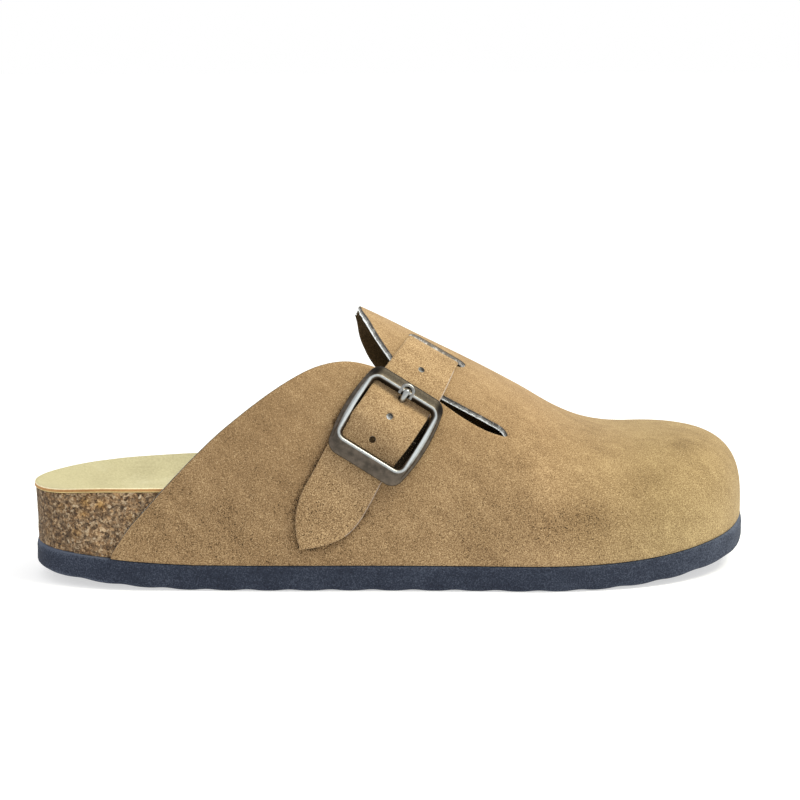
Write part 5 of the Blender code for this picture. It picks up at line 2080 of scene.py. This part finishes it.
def make_prong(metal):
    """A bent rod: a flat loop on the centre bar, then up through the strap's hole to the notch."""
    reach = CENTRE_BAR / 2 + GAP + PRONG_LOOP / 2
    rows = []
    for degrees in PRONG_LOOP_TURNS:
        angle = math.radians(degrees)
        out = BAR_HEIGHT + reach * math.cos(angle)
        rows.append(Bend(reach * math.sin(angle), out, PRONG_LOOP, PRONG_LOOP_WIDE))
    bends_from = len(rows)
    rows = np.array(rows + PRONG_BENDS)
    mark = run_along(rows[:, :2])
    fine = np.concatenate([mark[:bends_from], np.linspace(mark[bends_from], mark[-1], PRONG_STEPS)])
    up, out, thick, wide = [smooth(mark, rows[:, k], fine) for k in range(4)]
    left = np.clip((mark[-1] - fine) / PRONG_END, 0, 1)
    end_round = np.sqrt(np.clip(1 - (1 - left) ** 2, PRONG_LEAST, 1))
    thick = thick * end_round
    wide = wide * end_round
    path = np.stack([np.zeros(len(up)), up, out], -1)
    loops = []
    for i in range(len(path)):
        ahead = unit(path[min(i + 1, len(path) - 1)] - path[max(i - 1, 0)])
        upward = np.cross(ahead, [1.0, 0, 0])
        for k in range(PRONG_SIDES):
            angle = 2 * math.pi * k / PRONG_SIDES
            swing = thick[i] * math.sin(angle) * upward
            swing[0] += wide[i] * math.cos(angle)
            loops.append(path[i] + swing / 2)
    points = np.array(loops)
    faces = outward_faces(points, rod_faces(len(path), PRONG_SIDES))
    # Painted shade where the prong is hidden under the strap; rubbed bronze and painted highlight at its end
    worn = np.clip((up - PRONG_SHADE_TO_LIGHT_FROM) / PRONG_SHADE_TO_LIGHT_RUN, HIDDEN, PRONG_WEAR_AND_HIGHLIGHT)
    tags = {"worn": np.repeat(worn, PRONG_SIDES)}
    return new_piece("bronze_prong", to_world(points), faces, [metal], tags=tags)


# Loose fibres on the cut edges


Fibre = namedtuple("Fibre", "apart length thickness")
UPPER_FIBRES = Fibre(0.07, 0.75, 0.022)
STRAP_FIBRES = Fibre(0.08, 0.5, 0.02)
FIBRES_ABOVE_SOLE = 2.0
FIBRES_PAST_SLOT = 2.0
FIBRE_LEAN = 0.9
FIBRE_SHORTEST = 0.3
FIBRE_SIDES = 3
DEPTH_SEED = 3
LEAN_SEED = 11
SIZE_SEED = 23


def upper_strands(rims):
    """The cut edges of the upper as short lines, with the ways that their fibres stand out."""
    kept = []
    for a, b in rims.edges:
        middle = (rims.points[a] + rims.points[b]) / 2
        if middle[2] > SOLE_THICK + lift(middle[0]) + FIBRES_ABOVE_SOLE:
            kept.append((a, b))
    return kept, rims.points, rims.outward, rims.normals * -SUEDE


def strap_strands(rims):
    """The strap's two side edges in the same form."""
    low_left, left, high_left, low_right, right, high_right = [np.array(column) for column in zip(*rims)]
    count = len(left)
    points = np.concatenate([high_left, high_right])
    depths = np.concatenate([low_left - high_left, low_right - high_right])
    ways = np.concatenate([left - (low_left + high_left) / 2, right - (low_right + high_right) / 2])
    ways = unit_rows(ways)
    first = int(np.searchsorted(strap_marks(), STRAP.slot + FIBRES_PAST_SLOT))
    edges = [(k, k + 1) for k in range(first, count - 1)]
    edges += [(count + k, count + k + 1) for k in range(first, count - 1)]
    return edges, points, ways, depths


def named_vector(tree, name):
    sockets = {"Name": name}
    return node(tree, "GeometryNodeInputNamedAttribute", sockets, data_type="FLOAT_VECTOR").outputs[0]


def random_number(tree, low, high, seed):
    sockets = {2: low, 3: high, "Seed": seed}
    return node(tree, "FunctionNodeRandomValue", sockets, data_type="FLOAT").outputs[1]


def fibre_tree(look):
    """Geometry nodes that set tapering fibres along edges, each leaning its own way."""
    tree = bpy.data.node_groups.new("edge fibres", "GeometryNodeTree")
    tree.interface.new_socket("Edges", in_out="INPUT", socket_type="NodeSocketGeometry")
    for name in ("Apart", "Length", "Thickness"):
        tree.interface.new_socket(name, in_out="INPUT", socket_type="NodeSocketFloat")
    tree.interface.new_socket("Fibres", in_out="OUTPUT", socket_type="NodeSocketGeometry")
    given = node(tree, "NodeGroupInput").outputs
    line = node(tree, "GeometryNodeMeshToCurve", {0: given["Edges"]}).outputs[0]
    sockets = {"Curve": line, "Length": given["Apart"]}
    line = node(tree, "GeometryNodeResampleCurve", sockets, mode="LENGTH").outputs[0]
    points = node(tree, "GeometryNodeCurveToPoints", {"Curve": line}, mode="EVALUATED").outputs["Points"]
    depth = named_vector(tree, "depth")
    share = random_number(tree, 0.0, 1.0, DEPTH_SEED)
    moved = node(tree, "ShaderNodeVectorMath", {0: depth, 3: share}, operation="SCALE").outputs[0]
    points = node(tree, "GeometryNodeSetPosition", {"Geometry": points, "Offset": moved}).outputs[0]
    way = named_vector(tree, "way")
    sockets = {0: (-FIBRE_LEAN,) * 3, 1: (FIBRE_LEAN,) * 3, "Seed": LEAN_SEED}
    lean = node(tree, "FunctionNodeRandomValue", sockets, data_type="FLOAT_VECTOR").outputs[0]
    way = node(tree, "ShaderNodeVectorMath", {0: way, 1: lean}, operation="ADD").outputs[0]
    turn = node(tree, "FunctionNodeAlignRotationToVector", {"Vector": way}, axis="Z").outputs[0]
    size = random_number(tree, FIBRE_SHORTEST, 1.0, SIZE_SEED)
    sockets = {"Vertices": FIBRE_SIDES, "Radius Top": 0.0}
    sockets.update({"Radius Bottom": given["Thickness"], "Depth": given["Length"]})
    cone = node(tree, "GeometryNodeMeshCone", sockets, fill_type="NONE").outputs["Mesh"]
    sockets = {"Points": points, "Instance": cone, "Rotation": turn, "Scale": size}
    placed = node(tree, "GeometryNodeInstanceOnPoints", sockets).outputs[0]
    real = node(tree, "GeometryNodeRealizeInstances", {"Geometry": placed}).outputs[0]
    dressed = node(tree, "GeometryNodeSetMaterial", {"Geometry": real, "Material": look}).outputs[0]
    node(tree, "NodeGroupOutput", {"Fibres": dressed})
    return tree


def make_fibres(name, edges, points, ways, depths, look, fibre):
    """Loose fibres of one kind along cut edges."""
    item = new_piece(name, points, [], [look])
    item.data.clear_geometry()
    item.data.from_pydata((np.asarray(points) * MM).tolist(), edges, [])
    for key, values in (("way", ways), ("depth", np.asarray(depths) * MM)):
        kept = item.data.attributes.new(key, "FLOAT_VECTOR", "POINT")
        kept.data.foreach_set("vector", np.asarray(values, np.float32).ravel())
    tree = fibre_tree(look)
    grown = item.modifiers.new("fibres", "NODES")
    grown.node_group = tree
    sizes = {"Apart": fibre.apart * MM, "Length": fibre.length * MM, "Thickness": fibre.thickness * MM}
    for socket in tree.interface.items_tree:
        if socket.in_out == "INPUT" and socket.name in sizes:
            grown[socket.identifier] = sizes[socket.name]
    return settle(item)


# Studio


Lamp = namedtuple("Lamp", "name place target size power colour")
KEY_LAMP = Lamp("key", (0.62, -0.22, 1.02), (0.0, 0.0, 0.04), 0.6, 15.0, (1.0, 0.98, 0.8))
FLOOR_SIZE = 30.0
FLOOR_DARK = (0.5, 0.5, 0.5)
FLOOR_LIGHT = (0.55, 0.55, 0.55)
FLOOR_CLOUDS = Speckle(3.0, 2.0, 0.55)
FLOOR_GRIT = Speckle(900.0, 2.0, 0.55)
FLOOR_STIR = 0.2
FLOOR_NEAR = 0.3
FLOOR_FAR = 1.6
FLOOR_BUMP = Bump(0.05, 0.05)
FLOOR_ROUGH = 0.9
FLOOR_GLOW = 0.58
WHITE = (1.0, 1.0, 1.0, 1.0)
WORLD_LIGHT = 1.0
CAMERA_PLACE = (-0.08216, -0.78165, 0.19422)
CAMERA_TARGET = (0.0, 0.0, 0.045)
CAMERA_LENS = 94.86
CAMERA_SENSOR = 36.0
CAMERA_SHIFT = (0.005, 0.05975)


def make_floor():
    """A wide pale floor with a faint glow of its own."""
    look, tree = start_look("studio floor")
    place = object_place(tree)
    away = node(tree, "ShaderNodeVectorMath", {0: place}, operation="LENGTH").outputs["Value"]
    away = maths(tree, "MULTIPLY_ADD", noise(tree, place, FLOOR_CLOUDS), FLOOR_STIR, away)
    stops = [(0.0, FLOOR_DARK), (1.0, FLOOR_LIGHT)]
    colour = ramp(tree, spread(tree, away, FLOOR_NEAR, FLOOR_FAR), stops)
    glow = {"Emission Color": WHITE, "Emission Strength": FLOOR_GLOW}
    shade(tree, colour, bumped(tree, noise(tree, place, FLOOR_GRIT), FLOOR_BUMP), FLOOR_ROUGH, glow)
    half = FLOOR_SIZE / 2
    corners = [(-half, -half, 0), (half, -half, 0), (half, half, 0), (-half, half, 0)]
    floor = new_piece("floor", np.array(corners, float) / MM, [(0, 1, 2, 3)], [look])


def aim(item, place, target):
    """Puts a lamp or the camera at a place, turned to a target."""
    item.location = place
    item.rotation_euler = (Vector(target) - Vector(place)).to_track_quat("-Z", "Y").to_euler()
    bpy.context.scene.collection.objects.link(item)


def make_studio():
    """Soft white light all round, one lamp, the camera and the floor."""
    scene = bpy.context.scene
    world = bpy.data.worlds.new("studio")
    world.use_nodes = True
    sky = world.node_tree.nodes["Background"].inputs
    sky["Color"].default_value = WHITE
    sky["Strength"].default_value = WORLD_LIGHT
    scene.world = world
    light = bpy.data.lights.new(KEY_LAMP.name, "AREA")
    light.shape = "DISK"
    light.size = KEY_LAMP.size
    light.energy = KEY_LAMP.power
    light.color = KEY_LAMP.colour
    aim(bpy.data.objects.new(KEY_LAMP.name, light), KEY_LAMP.place, KEY_LAMP.target)
    lens = bpy.data.cameras.new("camera")
    lens.lens = CAMERA_LENS
    lens.sensor_width = CAMERA_SENSOR
    lens.shift_x, lens.shift_y = CAMERA_SHIFT
    camera = bpy.data.objects.new("camera", lens)
    aim(camera, CAMERA_PLACE, CAMERA_TARGET)
    scene.camera = camera
    scene.view_settings.view_transform = "Standard"
    make_floor()


def main():
    """Makes each look and each piece, puts the pieces on the shoe, and sets up the studio."""
    suede = suede_look("tan suede", SUEDE_SHADE, SUEDE_DARK, SUEDE_MIDDLE, SUEDE_LIGHT, SUEDE_SHEEN)
    flesh = suede_look("flesh side", FLESH_SHADE, FLESH_DARK, FLESH_MIDDLE, FLESH_LIGHT, 0.0, toned=False)
    cut_edge = cut_edge_look()
    fuzz = fuzz_look()
    cream = insole_look()
    orange = plain_cloth_look("insole edge band", EDGE_ORANGE_DARK, EDGE_ORANGE)
    yellow = plain_cloth_look("insole edge line", EDGE_YELLOW_DARK, EDGE_YELLOW)
    bronze = metal_look()
    dress(make_outsole(foam_look()), "outsole_foam", "outsole")
    dress(make_footbed(cork_look()), "cork", "footbed")
    lip = plain_cloth_look("insole edge lip", LIP_DARK, LIP_LIGHT)
    dress(make_insole([cream, orange, yellow, lip]), "insole_suede", "insole")
    upper, upper_rims = make_upper([suede, cut_edge, flesh])
    dress(upper, "upper_suede", "upper")
    pale = plain_cloth_look("strap edge", STRAP_EDGE_DARK, STRAP_EDGE_LIGHT, STRAP_EDGE_FINE)
    strap, strap_rims = make_strap([suede, cut_edge, flesh, pale])
    dress(strap, "strap_suede", "instep_strap")
    dress(make_buckle(bronze), "buckle_metal", "buckle_frame")
    dress(make_prong(bronze), "prong_metal", "buckle_prong")
    upper_fibres = make_fibres("upper_edge_fibres", *upper_strands(upper_rims), fuzz, UPPER_FIBRES)
    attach(upper_fibres, "root")
    strap_fibres = make_fibres("strap_edge_fibres", *strap_strands(strap_rims), fuzz, STRAP_FIBRES)
    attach(strap_fibres, "root")
    make_studio()


main()
